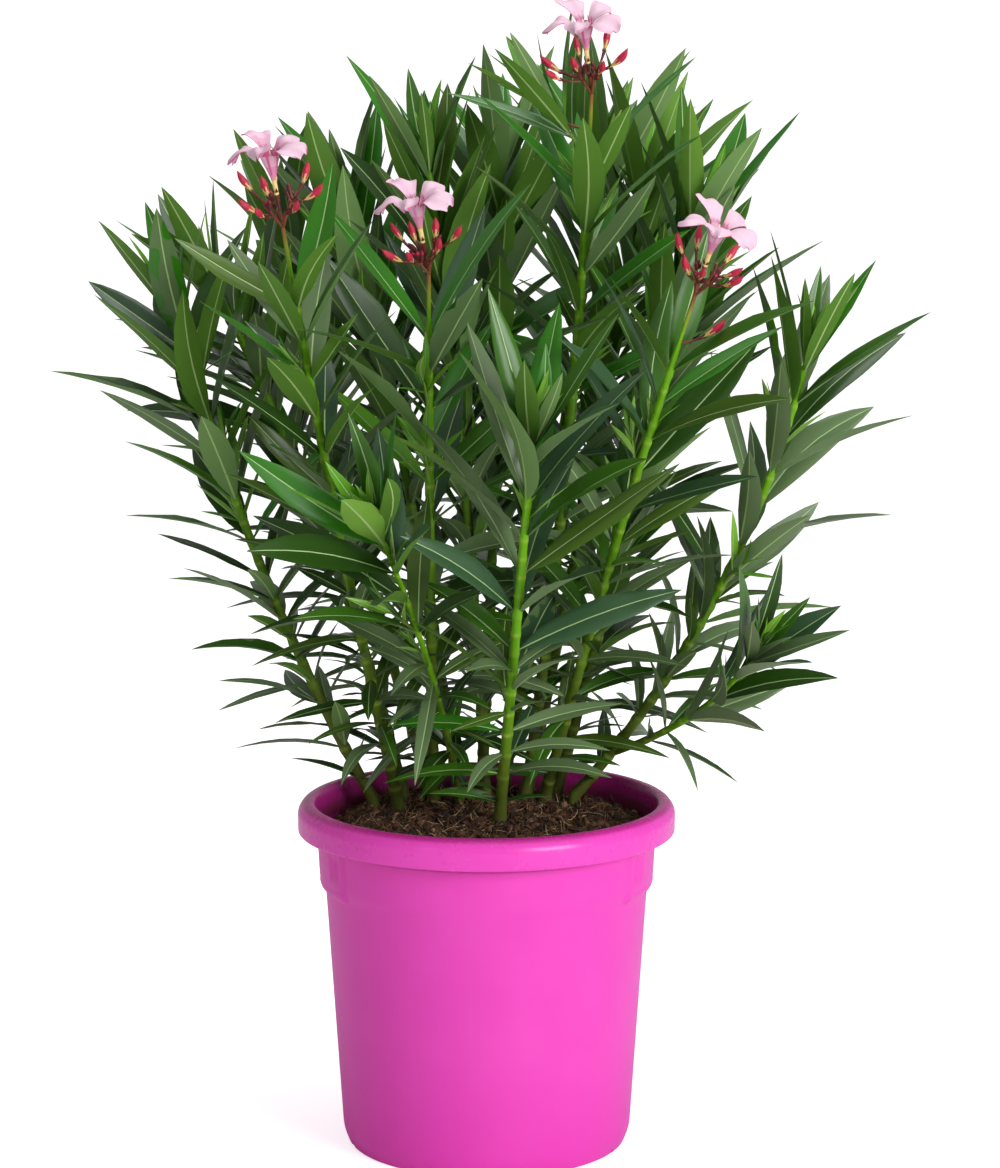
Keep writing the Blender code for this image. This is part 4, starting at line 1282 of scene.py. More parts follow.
def bud_part(root, tip):
    side, thick = cross_axes(unit(tip - root))
    middle = root + (tip - root) * BUD_WIDEST
    return spindle(root, tip, side * BUD_RADIUS, thick * BUD_RADIUS, middle)


def truss(name, rng):
    """A cane's bud lines, and the plain solids of its flower and buds."""
    ending = CANES[name].ending
    if ending == "flower":
        solids = flower_parts(name)
        lines = bud_lines(name, BUDS, BUD_REACH, rng)
    elif ending == "bud":
        solids = []
        lines = bud_lines(name, 1, 0.6 * BUD_REACH, rng)
    else:
        return [], []
    return lines, solids + [bud_part(*line) for line in lines]


# --- Finer growth -----------------------------------------------------------

def inside_box(leaf, margin=0.001):
    """Whether a leaf's tip and broad part stay within the solids' outer box."""
    _, middle, half, _, tip = leaf_corners(leaf)
    low = np.array(cad_box[0]) + margin
    high = np.array(cad_box[1]) - margin
    corners = np.array([tip, middle + half, middle - half])
    return bool((corners > low).all() and (corners < high).all())


def add_leaf(leaves, progress, *placing):
    """Try to place a leaf, and keep it where it stays within the outer box too."""
    leaf = try_leaf(*placing)
    if leaf and inside_box(leaf):
        leaves.append((progress, leaf))


def grow_between(space, name, whorls, rng):
    """Shorter leaves halfway between the whorls, only where there is room for them."""
    cane = CANES[name]
    leaves = []
    _, last = whorl_shares(name)
    for (low, azimuth), (high, _) in zip(whorls[:-1], whorls[1:]):
        share = (low + high) / 2
        if share > cane.fill:
            break
        progress = (share - cane.bare) / (last - cane.bare)
        for k in range(WHORL):
            length, width, spread, bend, sag = leaf_habit(cane, progress, rng)
            size = rng.uniform(0.62, 0.92)
            habit = (length * size, width * size * 0.95, spread, bend, sag)
            around = azimuth + 2.0 * math.pi * (k + 0.5) / WHORL + math.radians(rng.uniform(-30, 30))
            add_leaf(leaves, progress, space, name, axis_point(name, share),
                     axis_direction(name, share), around, habit, rng)
    return leaves


def grow_crest(space, name, rng):
    """A young shoot that ends a leafy cane: its stem, and its small upright leaves."""
    direction = axis_direction(name, 1.0)
    tip = axis_point(name, 1.0)
    leaves = []
    for ring, (rise, length, spread) in enumerate(CREST):
        for k in range(WHORL):
            size = length * rng.uniform(0.8, 1.15)
            habit = (size, size * 0.21, math.radians(spread * rng.uniform(0.8, 1.2)), 0.10, 0.0)
            add_leaf(leaves, 1.3 + 0.1 * ring, space, name, tip + direction * rise, direction,
                     math.radians(60.0 * ring + 120.0 * k), habit, rng)
    stem = [(tip - direction * 0.004, tip + direction * 0.018)] if leaves else []
    return stem, leaves


def grow_basal(space, name, rng):
    """A few short leaves between the soil and the first whorl, progress -1."""
    leaves = []
    for share in np.arange(0.05, CANES[name].bare - 0.02, 0.03):
        for _ in range(WHORL):
            length = rng.uniform(0.026, 0.060)
            habit = (length, length * 0.25, math.radians(rng.uniform(36, 74)), 0.18, 0.06)
            around = rng.uniform(0.0, 2.0 * math.pi)
            if rng.random() < 0.5:
                continue
            add_leaf(leaves, -1.0, space, name, axis_point(name, share),
                     axis_direction(name, share), around, habit, rng)
    return leaves


def grow_axils(space, name, whorls, rng):
    """Young side shoots in some axils, near the top: their stems, and their leaves."""
    stems = []
    leaves = []
    for share, azimuth in whorls:
        if share <= 0.45 or rng.random() > 0.42:
            continue
        direction = axis_direction(name, share)
        around = azimuth + 2.0 * math.pi * rng.randrange(WHORL) / WHORL
        heading = leaf_frame(direction, around, math.radians(rng.uniform(22, 34)), 0.0)[0]
        start = axis_point(name, share) + direction * 0.003
        reach = YOUNG_SHOOT * rng.uniform(0.6, 1.4)
        grown = []
        for ring in range(2):
            for k in range(WHORL):
                length = reach * rng.uniform(1.5, 2.1) * (1.0 - 0.25 * ring)
                habit = (length, length * 0.19, math.radians(between(36, 16, ring)), 0.08, 0.0)
                add_leaf(grown, 1.3 + 0.2 * ring, space, name,
                         start + heading * reach * (0.5 + 0.5 * ring), heading,
                         math.radians(60.0 * ring + 120.0 * k), habit, rng)
        if len(grown) > 2:
            stems.append((start - direction * 0.003, start + heading * reach))
            leaves += grown
    return stems, leaves


# --- Leaves -----------------------------------------------------------------

def blade_outline(share):
    """Half width of a blade over its greatest: a lance, broadest just below its middle.

    With q the share of the blade raised to 0.88, it is (4 q (1 - q)) to the power 0.95.
    """
    q = np.clip((share - 0.035) / 0.965, 0.0, 1.0) ** 0.88
    return (4.0 * q * (1.0 - q)) ** 0.95


def blade_points(leaves, draw):
    """Rings of eight points down every blade, as an array of leaf, row, ring point, xyz.

    The middle line is the growth rule's parabola with a small sideways sweep. Round it
    the upper face has six points and the lower face two: margin, half way, rib edge,
    rib edge, half way, margin, and the two corners of the keel. Both halves rise from
    the rib by the fold, arch a little, and wave along the margin.
    """
    point, along, across, face = (np.array([leaf[k] for leaf in leaves]) for k in range(4))
    length, width, bend, sag = (np.array([leaf[k] for leaf in leaves])[:, None] for k in range(4, 8))
    count = len(leaves)
    share = np.array(BLADE_ROWS)[None, :]
    down = np.array([0.0, 0.0, 1.0])

    def over(values):
        return values[..., None]

    sweep = draw.normal(0.0, 0.022, (count, 1)) * length * np.sin(math.pi * share)
    centre = (point[:, None] + over(length * share) * along[:, None]
              - over(bend * length * share ** 2) * face[:, None]
              - over(sag * length * share ** 2) * down + over(sweep) * across[:, None])
    ahead = units(along[:, None] - over(2 * bend * share) * face[:, None]
                  - over(2 * sag * share) * down)
    side = units(across[:, None] - over((across[:, None] * ahead).sum(axis=2)) * ahead)
    normal = np.cross(side, ahead)
    turn = draw.normal(0.0, 0.22, (count, 1)) * share ** 1.5
    side, normal = (over(np.cos(turn)) * side + over(np.sin(turn)) * normal,
                    over(np.cos(turn)) * normal - over(np.sin(turn)) * side)

    stalk = STALK_HALF_WIDTH * np.clip(length / 0.1, 0.5, 1.1)
    blade = BLADE_WIDTH * width / 2 * blade_outline(share)
    half = np.maximum(blade, stalk * (share < 0.5))
    half[:, -1] = TIP_HALF_WIDTH
    rib = RIB_HALF_WIDTH * (1.05 - 0.6 * share) * np.clip(length / 0.09, 0.45, 1.0)
    rib = np.minimum(0.42 * half, rib)
    keel = np.minimum(KEEL_DEPTH * (1.05 - 0.75 * share), 0.9 * half)
    keel = keel * np.clip(length / 0.09, 0.5, 1.0)

    fold = np.tan(np.radians(draw.uniform(7.0, 26.0, (count, 1)))) * (1.0 - 0.35 * share)
    arch = draw.uniform(0.03, 0.10, (count, 1))
    height = 0.055 * blade * np.clip(draw.normal(1.0, 0.6, (count, 1)), 0.0, 2.2)
    waves = draw.uniform(1.2, 2.6, (count, 1))
    left, right = (height * np.sin(2 * math.pi * waves * share + draw.uniform(0.0, 6.28, (count, 1)))
                   for _ in range(2))
    curl = draw.normal(0.05, 0.09, (count, 1))
    margin = half * (fold - curl)
    middle = 0.55 * half * fold + arch * half
    groove = 0.25 * keel
    offsets = [(-half, margin + left), (-0.55 * half, middle + 0.35 * left), (-rib, -groove),
               (rib, -groove), (0.55 * half, middle + 0.35 * right), (half, margin + right),
               (1.35 * rib, -keel), (-1.35 * rib, -keel)]
    rings = [centre + over(x) * side + over(z) * normal for x, z in offsets]
    return np.stack(rings, axis=2)


def deal_tint(progress, height, tone, rng):
    """Upper and lower colour of one leaf: young ones fresh, low ones dusty and lighter as partly
    painted light, the rest by the cane.
    """
    if progress < 0.0:
        return rng.choice(("deep", "mid", "cool")), "grey"
    if progress > 1.25:
        return rng.choice(("fresh", "bright", "fresh", "rich")), "lime"
    if progress > 0.98 and tone[4] > 0:
        return rng.choice(("rich", "fresh", "mid", "rich")), rng.choice(("sage", "lime", "moss"))
    low = float(np.clip((0.48 - height) / 0.16, 0.0, 1.0))
    high = float(np.clip((height - 0.48) / 0.14, 0.0, 1.0))
    deep, mid, olive, cool, rich, dusty = tone
    # lower leaves lean to the lighter dusty tint: dust on old leaves, and partly painted light
    # brightening the lower and middle crown
    weights = (deep, mid, olive + 2.0 * low, cool * (1.0 - 0.7 * high - 0.4 * low),
               rich * (1.0 + 1.2 * high - 0.6 * low), dusty + 1.2 * (1.0 - high) + 8.0 * low,
               0.3 + 2.0 * high)
    upper = rng.choices(("deep", "mid", "olive", "cool", "rich", "dusty", "fresh"), weights=weights)[0]
    weights = (4 - 2 * high, 3 - 2 * high, 3 + 4 * high, 8 * low + dusty)
    return upper, rng.choices(("grey", "sage", "moss", "ash"), weights=weights)[0]


# Canes a, b and e on the left lean to deep tints: painted shade on the side away from the key lamp.
TONES = {                   # weights of deep, mid, olive, cool, rich and dusty leaves
    "d": (2, 3, 1, 5, 2, 1), "b": (5, 4, 2, 1, 3, 0), "f": (4, 4, 1, 3, 2, 0), "m": (3, 4, 1, 4, 2, 1),
    "l": (3, 4, 2, 1, 5, 0), "a": (9, 4, 2, 1, 1, 0), "j": (3, 3, 2, 2, 1, 5), "c": (3, 3, 1, 5, 1, 1),
    "k": (6, 3, 0, 6, 0, 1), "e": (9, 4, 1, 2, 1, 0),
}
USUAL_TONE = (4, 4, 1, 2, 3, 0)


def make_leaves(name, leaves, materials, index):
    """One piece with all the leaves of a cane, each a closed blade of 78 faces."""
    rng = random.Random(SEED * 7 + index)
    draw = np.random.default_rng(SEED * 11 + index)
    points = blade_points([leaf for _, leaf in leaves], draw)
    rows = len(BLADE_ROWS)
    quads = grid_faces(rows, 8, ring=True)
    end = (rows - 1) * 8
    caps = np.array([(7, 2, 1, 0), (6, 3, 2, 7), (6, 5, 4, 3)])
    caps = np.concatenate([caps, caps[:, ::-1] + end])
    faces, = facing_out(points[0], np.concatenate([quads, caps]))
    slot_index = {key: k for k, key in enumerate(LEAF_SLOTS)}
    slots = []
    rib, keel, stalk = (slot_index[key] for key in RIBS)
    for progress, leaf in leaves:
        tints = deal_tint(progress, leaf[0][2], TONES.get(name, USUAL_TONE), rng)
        top, low = (slot_index[key] for key in tints)
        strip = [top, top, rib, top, top, low, keel, low]
        slots.append([stalk] * 8 + strip * (rows - 2) + [stalk] * 3 + [top] * 3)
    shape = Shape()
    shape.add(points, repeat_faces(faces, len(leaves), 8 * rows), np.array(slots).ravel())
    parts = ("",) if name in ONE_MASS else ("_low", "_top")
    solids = ["foliage_" + name + part for part in parts]
    shape.build("leaves_" + name, materials, stands_for=solids, angle=60.0)


# --- Limbs ------------------------------------------------------------------

LIMB_GRAIN = Noise(11)


def ring_spokes(ways, angle, across):
    """Unit vectors at angles round each way, the angle 0 being on the side of `across`."""
    first = units(across - (ways @ across)[:, None] * ways)
    second = np.cross(ways, first)
    return np.cos(angle)[..., None] * first[:, None] + np.sin(angle)[..., None] * second[:, None]


def bark_nodes(name, whorls):
    """A cane's rings as (share, azimuth): its whorls, bare ones down to its foot, and halves."""
    step = INTERNODE_LOW / axis_length(name)
    nodes = list(whorls)
    share, azimuth = whorls[0]
    while share - step > 0.03:
        share -= step
        azimuth -= math.radians(60.0)
        nodes.append((share, azimuth))
    nodes.sort()
    return nodes + [((low + high) / 2, turn)
                    for (low, turn), (high, _) in zip(nodes[:-1], nodes[1:])]


def limb_surface(name, whorls):
    """Rings of a barked cane, with its age and scars, from its foot to its tip.

    The radius is the cane's taper times relief: a swelling and three leaf cushions at
    each node, three shallow ridges that run down from the cushions, grain that dies
    away upwards, a flare at the soil and a round end.
    """
    cane = CANES[name]
    length = axis_length(name)
    shares = np.linspace(0.0, 1.0, int(length / LIMB_STEP))
    centres = np.array([axis_point(name, share) for share in shares])
    ways = np.array([axis_direction(name, share) for share in shares])
    radius = cane.girth * (1.0 - 0.42 * shares)
    if cane.ending == "flower":
        thick, thin = (1.0 - (PEDUNCLE + rise) / length for rise in (0.006, -0.010))
        radius *= 1.0 - 0.38 * ease(thick, thin, shares)
    if not is_branch(name):
        radius *= 1.0 + 0.34 * np.exp(-shares * length / 0.008)

    angle = circle(LIMB_SIDES)[None, :]
    relief = np.full((len(shares), LIMB_SIDES), 0.95)
    scar = np.zeros_like(relief)
    for share, azimuth in bark_nodes(name, whorls):
        run = ((shares - share) * length)[:, None]
        lobes = np.clip(np.cos(3.0 * (angle - azimuth)), 0.0, 1.0) ** 2
        relief += 0.11 * hump(run, 0.0, 0.0030)
        relief += 0.16 * lobes * hump(run, -0.0020, 0.0026)
        relief += 0.05 * lobes * hump(run, -0.012, 0.010)
        scar += hump(run, -0.0004, 0.0009) * (0.65 + 0.35 * lobes)
    old = ease(0.75, 0.0, shares)[:, None]
    grain = LIMB_GRAIN.at(angle * 12.0 / math.pi + shares[:, None] * 3.0,
                          shares[:, None] * length * 160.0)
    relief += (0.015 + 0.045 * old) * grain
    tip = np.sqrt(np.clip((1.0 - shares) * length / 0.004, 0.0, 1.0))
    reach = (radius * (0.25 + 0.75 * tip))[:, None] * relief
    spokes = ring_spokes(ways, angle, np.array([1.0, 0.0, 0.0]))
    points = centres[:, None] + reach[..., None] * spokes
    if not is_branch(name):
        points[0, :, 2] = SOIL_TOP - 0.006

    last = whorl_shares(name)[1]
    ripeness = np.clip(shares / last, 0.0, 1.0)
    ripeness += cane.youth * (1.0 - ripeness) * ease(0.0, 0.6, shares)
    age = 0.62 * ripeness + 0.38 * ease(last, 1.0, shares) * (cane.ending == "flower")
    return points, np.broadcast_to(age[:, None], scar.shape), np.clip(scar, 0.0, 1.0)


def make_limb(name, whorls, bark):
    """One cane, its age and scars as fields on its points and on the middles of its ends."""
    points, age, scar = limb_surface(name, whorls)
    ages = np.concatenate([age.ravel(), [age[0, 0], age[-1, 0]]])
    scars = np.concatenate([scar.ravel(), [0.0, 0.0]])
    shape = Shape()
    shape.add_closed(points, age=ages, scar=scars)
    shape.build("limb_" + name, [bark], stands_for=("cane_" + name,), angle=80.0)


def ring_points(centres, ways, radii, sides):
    """Round rings about a line of centres: one grid row for each centre."""
    spokes = ring_spokes(np.asarray(ways), circle(sides)[None, :], np.array([0.98, 0.199, 0.0]))
    return np.asarray(centres)[:, None] + np.asarray(radii)[:, None, None] * spokes


def make_twigs(name, stems, green):
    """The stems of a cane's young side shoots, each a thin tapering tube with a round end."""
    if not stems:
        return
    shape = Shape()
    share = np.array([0.0, 0.3, 0.6, 0.85, 0.96, 1.0])
    taper = np.array([1.0, 0.9, 0.8, 0.7, 0.5, 0.2])
    for start, end in stems:
        way = unit(end - start)
        centres = start + share[:, None] * (end - start)
        shape.add_closed(ring_points(centres, np.tile(way, (6, 1)), TWIG_RADIUS * taper, 8))
    shape.build("twigs_" + name, [green], angle=80.0)


# --- Flowers ----------------------------------------------------------------

SLOT = {key: k for k, key in enumerate(BLOSSOM)}


def slots_of(keys):
    """The slots of a list of blossom colours."""
    return [SLOT[key] for key in keys]


def add_tube(shape, centres, ways, radii, sides, slots):
    """A closed tube with one slot for each of its bands, and the end bands' on its ends."""
    shape.add_closed(ring_points(centres, ways, radii, sides),
                     np.repeat(slots, sides), np.repeat([slots[0], slots[-1]], sides))


def bent_line(root, tip, end_way, stiffness=0.5):
    """Points and directions at shares of a curve that bends until it reaches its tip one way."""
    control = tip - end_way * stiffness * np.linalg.norm(tip - root)

    def at(shares):
        t = np.asarray(shares, dtype=float)[:, None]
        points = (1 - t) ** 2 * root + 2 * t * (1 - t) * control + t ** 2 * tip
        ways = (1 - t) * (control - root) + t * (tip - control)
        return points, units(ways)

    return at


def add_bud(shape, root, tip, end_way, size=1.0):
    """A bud on its stalk: a red stalk, a cup of sepals, and a pointed spindle twisted shut.

    The spindle's radius is its greatest times (sin of pi times its share to 1.25) to 0.9.
    Its foot is yellow, and five yellow streaks run up between the red folds of its petals.
    """
    at = bent_line(root, tip, end_way)
    foot = max(0.25, 1.0 - BUD_LENGTH * size / np.linalg.norm(tip - root))
    centres, ways = at(np.linspace(0.0, foot + 0.02, 6))
    add_tube(shape, centres, ways, 0.00085 * size * np.array([1.25, 1.0, 0.95, 0.95, 1.05, 1.4]), 7,
             slots_of(["twig_red"] * 3 + ["calyx"] * 2))
    share = np.linspace(0.0, 1.0, 13)
    body = np.sin(math.pi * np.clip(share, 0.02, 0.985) ** 1.25) ** 0.9
    centres, ways = at(foot + (1.0 - foot) * share)
    points = ring_points(centres, ways, 0.0024 * size * np.maximum(body, 0.34 * (share < 0.3)), 10)
    twist = 1.0 + 0.09 * np.cos(5.0 * circle(10)[None, :] + 4.0 * share[:, None])
    points = centres[:, None] + (points - centres[:, None]) * twist[..., None]
    row = np.arange(12)[:, None]
    column = np.arange(10)[None, :]
    level = row + 0.9 * np.where(column % 2 == 0, 1.0, -1.0)
    keys = ("gold", "peach", "crimson", "wine")
    bands = np.array(slots_of(keys))[np.digitize(level, (3.2, 4.6, 11.6))]
    bands[5:10, 3] = SLOT["petal_rose"]
    shape.add_closed(points, bands.ravel(), np.repeat(slots_of(("gold", "wine")), 10))
    base, way = (values[0] for values in at([foot]))
    add_sepals(shape, base, way, 0.0010 * size, 0.0042 * size, 0.20)


def add_sepals(shape, base, way, radius, length, flare):
    """Five pointed sepals round a stalk's end: plain spindles leaning out by the flare."""
    for k in range(PETALS):
        radial = spoke(way, 2.0 * math.pi * k / PETALS)
        across = np.cross(way, radial)
        root = base - way * 0.0006
        middle = base + way * length * 0.45 + radial * (radius + length * flare * 0.35)
        tip = base + way * length + radial * (radius + length * flare)
        points, faces = spindle(root, tip, across * length * 0.2, radial * length * 0.06, middle)
        faces, = facing_out(points, np.array(faces))
        shape.add(points, faces, SLOT["calyx"])


def add_small_buds(shape, place, way, count, rng):
    """A cluster of tiny closed buds about one place, each a dark red spindle in its sepals."""
    share = np.array([0.0, 0.25, 0.4, 0.6, 0.8, 1.0])[:, None]
    body = np.array([0.09, 0.08, 0.14, 0.17, 0.12, 0.02])
    for _ in range(count):
        radial = spoke(way, rng.uniform(0.0, 2.0 * math.pi))
        heading = unit(way + radial * rng.uniform(0.35, 1.0))
        start = place + way * rng.uniform(-0.003, 0.004)
        size = rng.uniform(0.0055, 0.0115)
        keys = ["twig_red", "calyx", "calyx", "calyx", rng.choice(("crimson", "wine", "calyx"))]
        add_tube(shape, start + heading * size * share, np.tile(heading, (6, 1)), size * body, 7,
                 slots_of(keys))
        add_sepals(shape, start + heading * size * 0.3, heading, 0.0006, size * 0.5, 0.25)


def petal_faces(throat, along, radial, rise, draw):
    """Upper and lower grid of one petal; s runs out from the throat and t across.

    It reaches out by the petal's length times s, further on one corner, with a shallow
    notch. Its half width grows from a fifth to full at s = 0.76 and closes in a blunt
    end. It climbs out of the funnel, arches over, and ruffles more and more towards its
    edge.
    """
    s = np.linspace(0.0, 1.0, 15)[:, None]
    t = np.linspace(-1.0, 1.0, 11)[None, :]
    across = np.cross(along, radial)
    opened = np.sin(0.5 * math.pi * np.clip(s / 0.76, 0.0, 1.0)) ** 1.5
    half = 0.49 * PETAL_WIDTH * (0.20 + 0.80 * opened)
    half = half * np.sqrt(np.clip(1.0 - ease(0.70, 1.05, s) ** 1.9, 0.03, 1.0))
    side = t * half * (1.0 + 0.10 * np.sign(t) * s) + 0.0028 * s ** 2
    reach = PETAL_LENGTH * (0.14 + 0.86 * s) * (1.0 + 0.09 * t * s ** 2)
    reach = reach - 0.0018 * s * t ** 2 - 0.0014 * s ** 4 * hump(t, -0.15, 0.22)
    climb = rise * s - 0.0040 * (1.0 - s) ** 2
    climb = climb + 0.0050 * (np.sin(math.pi * s ** 0.8) - s ** 4)
    phase = draw.uniform(0.0, 6.28, 3)
    ruffle = np.sin(5.5 * t + phase[0]) + 0.8 * np.abs(t) * np.sin(9.0 * s + phase[1])
    ruffle = 0.0015 * s ** 1.5 * ruffle + 0.0012 * t ** 2 * s * np.sin(phase[2])
    height = climb + ruffle + 0.0022 * t * s
    points = throat + reach[..., None] * radial + side[..., None] * across + height[..., None] * along
    normal = np.cross(np.gradient(points, axis=0), np.gradient(points, axis=1))
    normal /= np.linalg.norm(normal, axis=2, keepdims=True) + 1e-12
    if (normal[7, 5] @ along) < 0:
        normal = -normal
    return points, points - 0.00045 * normal


def petal_slots(kind, rosy, draw):
    """Slots of a petal's 14 by 10 faces: rosy at the throat and palest beyond the middle."""
    row = np.arange(14)[:, None]
    column = np.arange(10)[None, :]
    edge = np.maximum(np.abs(column - 4.5) - 2.6, 0.0)
    wander = draw.normal(0.0, 0.35, (14, 10))
    if kind == "upper":
        value = 2.1 - 0.42 * row + 0.20 * edge + rosy + wander * 0.5
        keys = ["petal_light", "petal_light", "petal_blush", "petal_pink"]
    else:
        value = 3.0 - 0.30 * row + 0.50 * edge + rosy + wander
        keys = ["petal_blush", "petal_pink", "petal_pink", "petal_rose"]
    level = np.clip(np.round(value), 0, 3).astype(int)
    return np.array(slots_of(keys))[level].ravel()


def add_funnel(shape, calyx, along, rosy):
    """The flower's funnel, up its outside and back down its inside as one closed tube.

    Its radius grows from the stalk's to the throat's along an S, with five faint lobes
    that grow with the share of the way up. Streaks of a deeper pink run up its outside.
    """
    share = np.linspace(0.0, 1.0, 15)[:, None]
    angle = circle(20)[None, :]
    radii = 0.0016 + (FLOWER_THROAT - 0.0016) * ease(0.24, 1.05, share) ** 1.15
    lobes = 1.0 + 0.07 * share * np.cos(5.0 * angle - 0.3)
    spokes = ring_spokes(along[None], angle, np.array([1.0, 0.0, 0.0]))
    centres = calyx + along * (FLOWER_TUBE * share)
    outside, inside = (centres[:, None] + ((radii - wall) * lobes)[..., None] * spokes
                       for wall in (0.0, 0.0004))
    outer = ["cream"] * 5 + ["peach"] + ["petal_pink"] * 4 + ["petal_blush"] * 4
    inner = ["petal_pink"] * 4 + ["petal_rose"] * 5 + ["cream"] * 5
    bands = np.tile(np.array(slots_of(outer + ["petal_pink"] + inner))[:, None], (1, 20))
    bands[7:14, 2::4] = SLOT["petal_rose" if rosy else "petal_pink"]
    shape.add_closed(np.concatenate([outside, inside[::-1]]), bands.ravel(), SLOT["cream"])


def add_flower(shape, name, draw, rng):
    """The open flower: stalk, sepals, funnel, five petals turned like a propeller, crown."""
    base = axis_point(name, 1.0) - axis_direction(name, 1.0) * 0.002
    along = flower_axis(name)
    rosy = ROSY_FLOWERS.get(name, 0.0)
    stalk = np.linspace(0.0, FLOWER_STALK, 7)[:, None]
    add_tube(shape, base + along * stalk, np.tile(along, (7, 1)),
             0.0011 * np.array([1.3, 1.1, 1.0, 1.0, 1.05, 1.2, 1.5]), 9,
             slots_of(["twig_green"] + ["twig_red"] * 2 + ["calyx"] * 3))
    calyx = base + along * FLOWER_STALK
    add_sepals(shape, calyx, along, 0.0015, 0.0050, 0.22)
    add_funnel(shape, calyx, along, rosy)
    throat = calyx + along * FLOWER_TUBE
    for k in range(PETALS):
        radial = spoke(along, 2.0 * math.pi * (k + 0.5) / PETALS)
        upper, lower = petal_faces(throat, along, radial, PETAL_RISE[k % 2] * 0.9, draw)
        points, top, side, under = slab(upper, lower)
        shape.add(points, top, petal_slots("upper", rosy, draw))
        shape.add_faces(side, SLOT["petal_rose"])
        shape.add_faces(under, petal_slots("under", rosy, draw))
        add_fringe(shape, throat, along, radial, rng)
    tip = throat + along * 0.001
    add_tube(shape, [tip - along * 0.012, tip - along * 0.006, tip, tip + along * 0.003],
             np.tile(along, (4, 1)), [0.0008, 0.0020, 0.0012, 0.0003], 8, slots_of(["filament"] * 3))


def add_fringe(shape, throat, along, radial, rng):
    """The crown's ragged scale at the root of a petal: four thin upright teeth."""
    across = np.cross(along, radial)
    for k in range(4):
        place = throat + radial * 0.0058 + across * (k - 1.5) * 0.0015
        lean = unit(along + radial * rng.uniform(-0.1, 0.35) + across * (k - 1.5) * 0.12)
        height = rng.uniform(0.0034, 0.0056)
        tip = place + lean * height
        points, faces = spindle(place - along * 0.001, tip, across * 0.0006, radial * 0.0003,
                                place + lean * height * 0.4)
        faces, = facing_out(points, np.array(faces))
        shape.add(points, faces, SLOT[rng.choice(("petal_pink", "petal_blush"))])


def add_branches(shape, lines, rng):
    """The truss's stalks: buds in pairs, each pair on a short branch with small buds at its fork."""
    middle = unit(sum(tip - base for base, tip in lines))
    for k in range(0, len(lines), 2):
        pair = lines[k:k + 2]
        root = pair[0][0]
        spread = unit(sum(tip - root for _, tip in pair))
        way = unit(spread + 0.5 * middle)
        fork = root + way * rng.uniform(0.010, 0.017)
        shares = np.linspace(0.0, 1.0, 4)[:, None]
        add_tube(shape, root + (fork - root) * shares, np.tile(way, (4, 1)),
                 0.00095 * np.array([1.2, 1.0, 1.0, 1.15]), 8, slots_of(["twig_red"] * 3))
        for _, tip in pair:
            upright = unit(unit(tip - fork) + 0.9 * middle)
            add_bud(shape, fork - way * 0.0006, tip, upright, rng.uniform(0.85, 1.08))
        add_small_buds(shape, fork, way, rng.choice((3, 4, 5)), rng)


def make_blossom(name, lines, materials, index):
    """One piece with the whole truss of a cane."""
    if not lines:
        return
    rng = random.Random(SEED * 13 + index)
    draw = np.random.default_rng(SEED * 17 + index)
    shape = Shape()
    if CANES[name].ending == "flower":
        add_flower(shape, name, draw, rng)
        add_branches(shape, lines, rng)
    else:
        for root, tip in lines:
            add_bud(shape, root, tip, unit(tip - root), 0.8)
    if name in SIDE_BUDS:
        share, reach = SIDE_BUDS[name]
        root = axis_point(name, share)
        add_bud(shape, root, root + np.array(reach), unit(np.array([0.5, -0.1, 0.6])), 1.05)
    shape.build("blossom_" + name, materials, angle=60.0)


# --- Stage ------------------------------------------------------------------

def make_stage():
    """A pale floor that curves up behind into a plain wall, white round about."""
    steps = np.linspace(0.0, 1.0, 25)
    run = np.concatenate([[-5.0, 3.4], 3.4 + 1.6 * np.sin(steps * math.pi / 2), [5.0]])
    rise = np.concatenate([[0.0, 0.0], 1.6 * (1 - np.cos(steps * math.pi / 2)), [6.0]])
    points = np.array([[(x, y, z) for x in (-5.0, 5.0)] for y, z in zip(run, rise)])
    mesh = bpy.data.meshes.new("backdrop")
    mesh.from_pydata(points.reshape(-1, 3).tolist(), [], grid_faces(len(run), 2).tolist())
    white = shader_of("backdrop_white", (0.90, 0.90, 0.90, 1.0), 0.9, specular=0.1)
    nodes = Nodes(white.node_tree)
    shader = white.node_tree.nodes["Principled BSDF"]
    shader.inputs["Emission Color"].default_value = (1.0, 1.0, 1.0, 1.0)
    seen = nodes.add("LightPath").outputs["Is Camera Ray"]
    nodes.feed(shader, "Emission_Strength", nodes.math("MULTIPLY", seen, 0.66))
    mesh.materials.append(white)
    mesh.shade_smooth()
    backdrop = bpy.data.objects.new("backdrop", mesh)
    bpy.context.scene.collection.objects.link(backdrop)


def add_lamp(name, place, target, size, power, tint=(1.0, 1.0, 1.0)):
    """A square soft lamp that faces its target."""
    data = bpy.data.lights.new(name, "AREA")
    data.shape = "SQUARE"
    data.size = size
    data.energy = power
    data.color = tint
    lamp = bpy.data.objects.new(name, data)
    lamp.location = place
    way = Vector(target) - Vector(place)
    lamp.rotation_euler = way.to_track_quat("-Z", "Y").to_euler()
    bpy.context.scene.collection.objects.link(lamp)


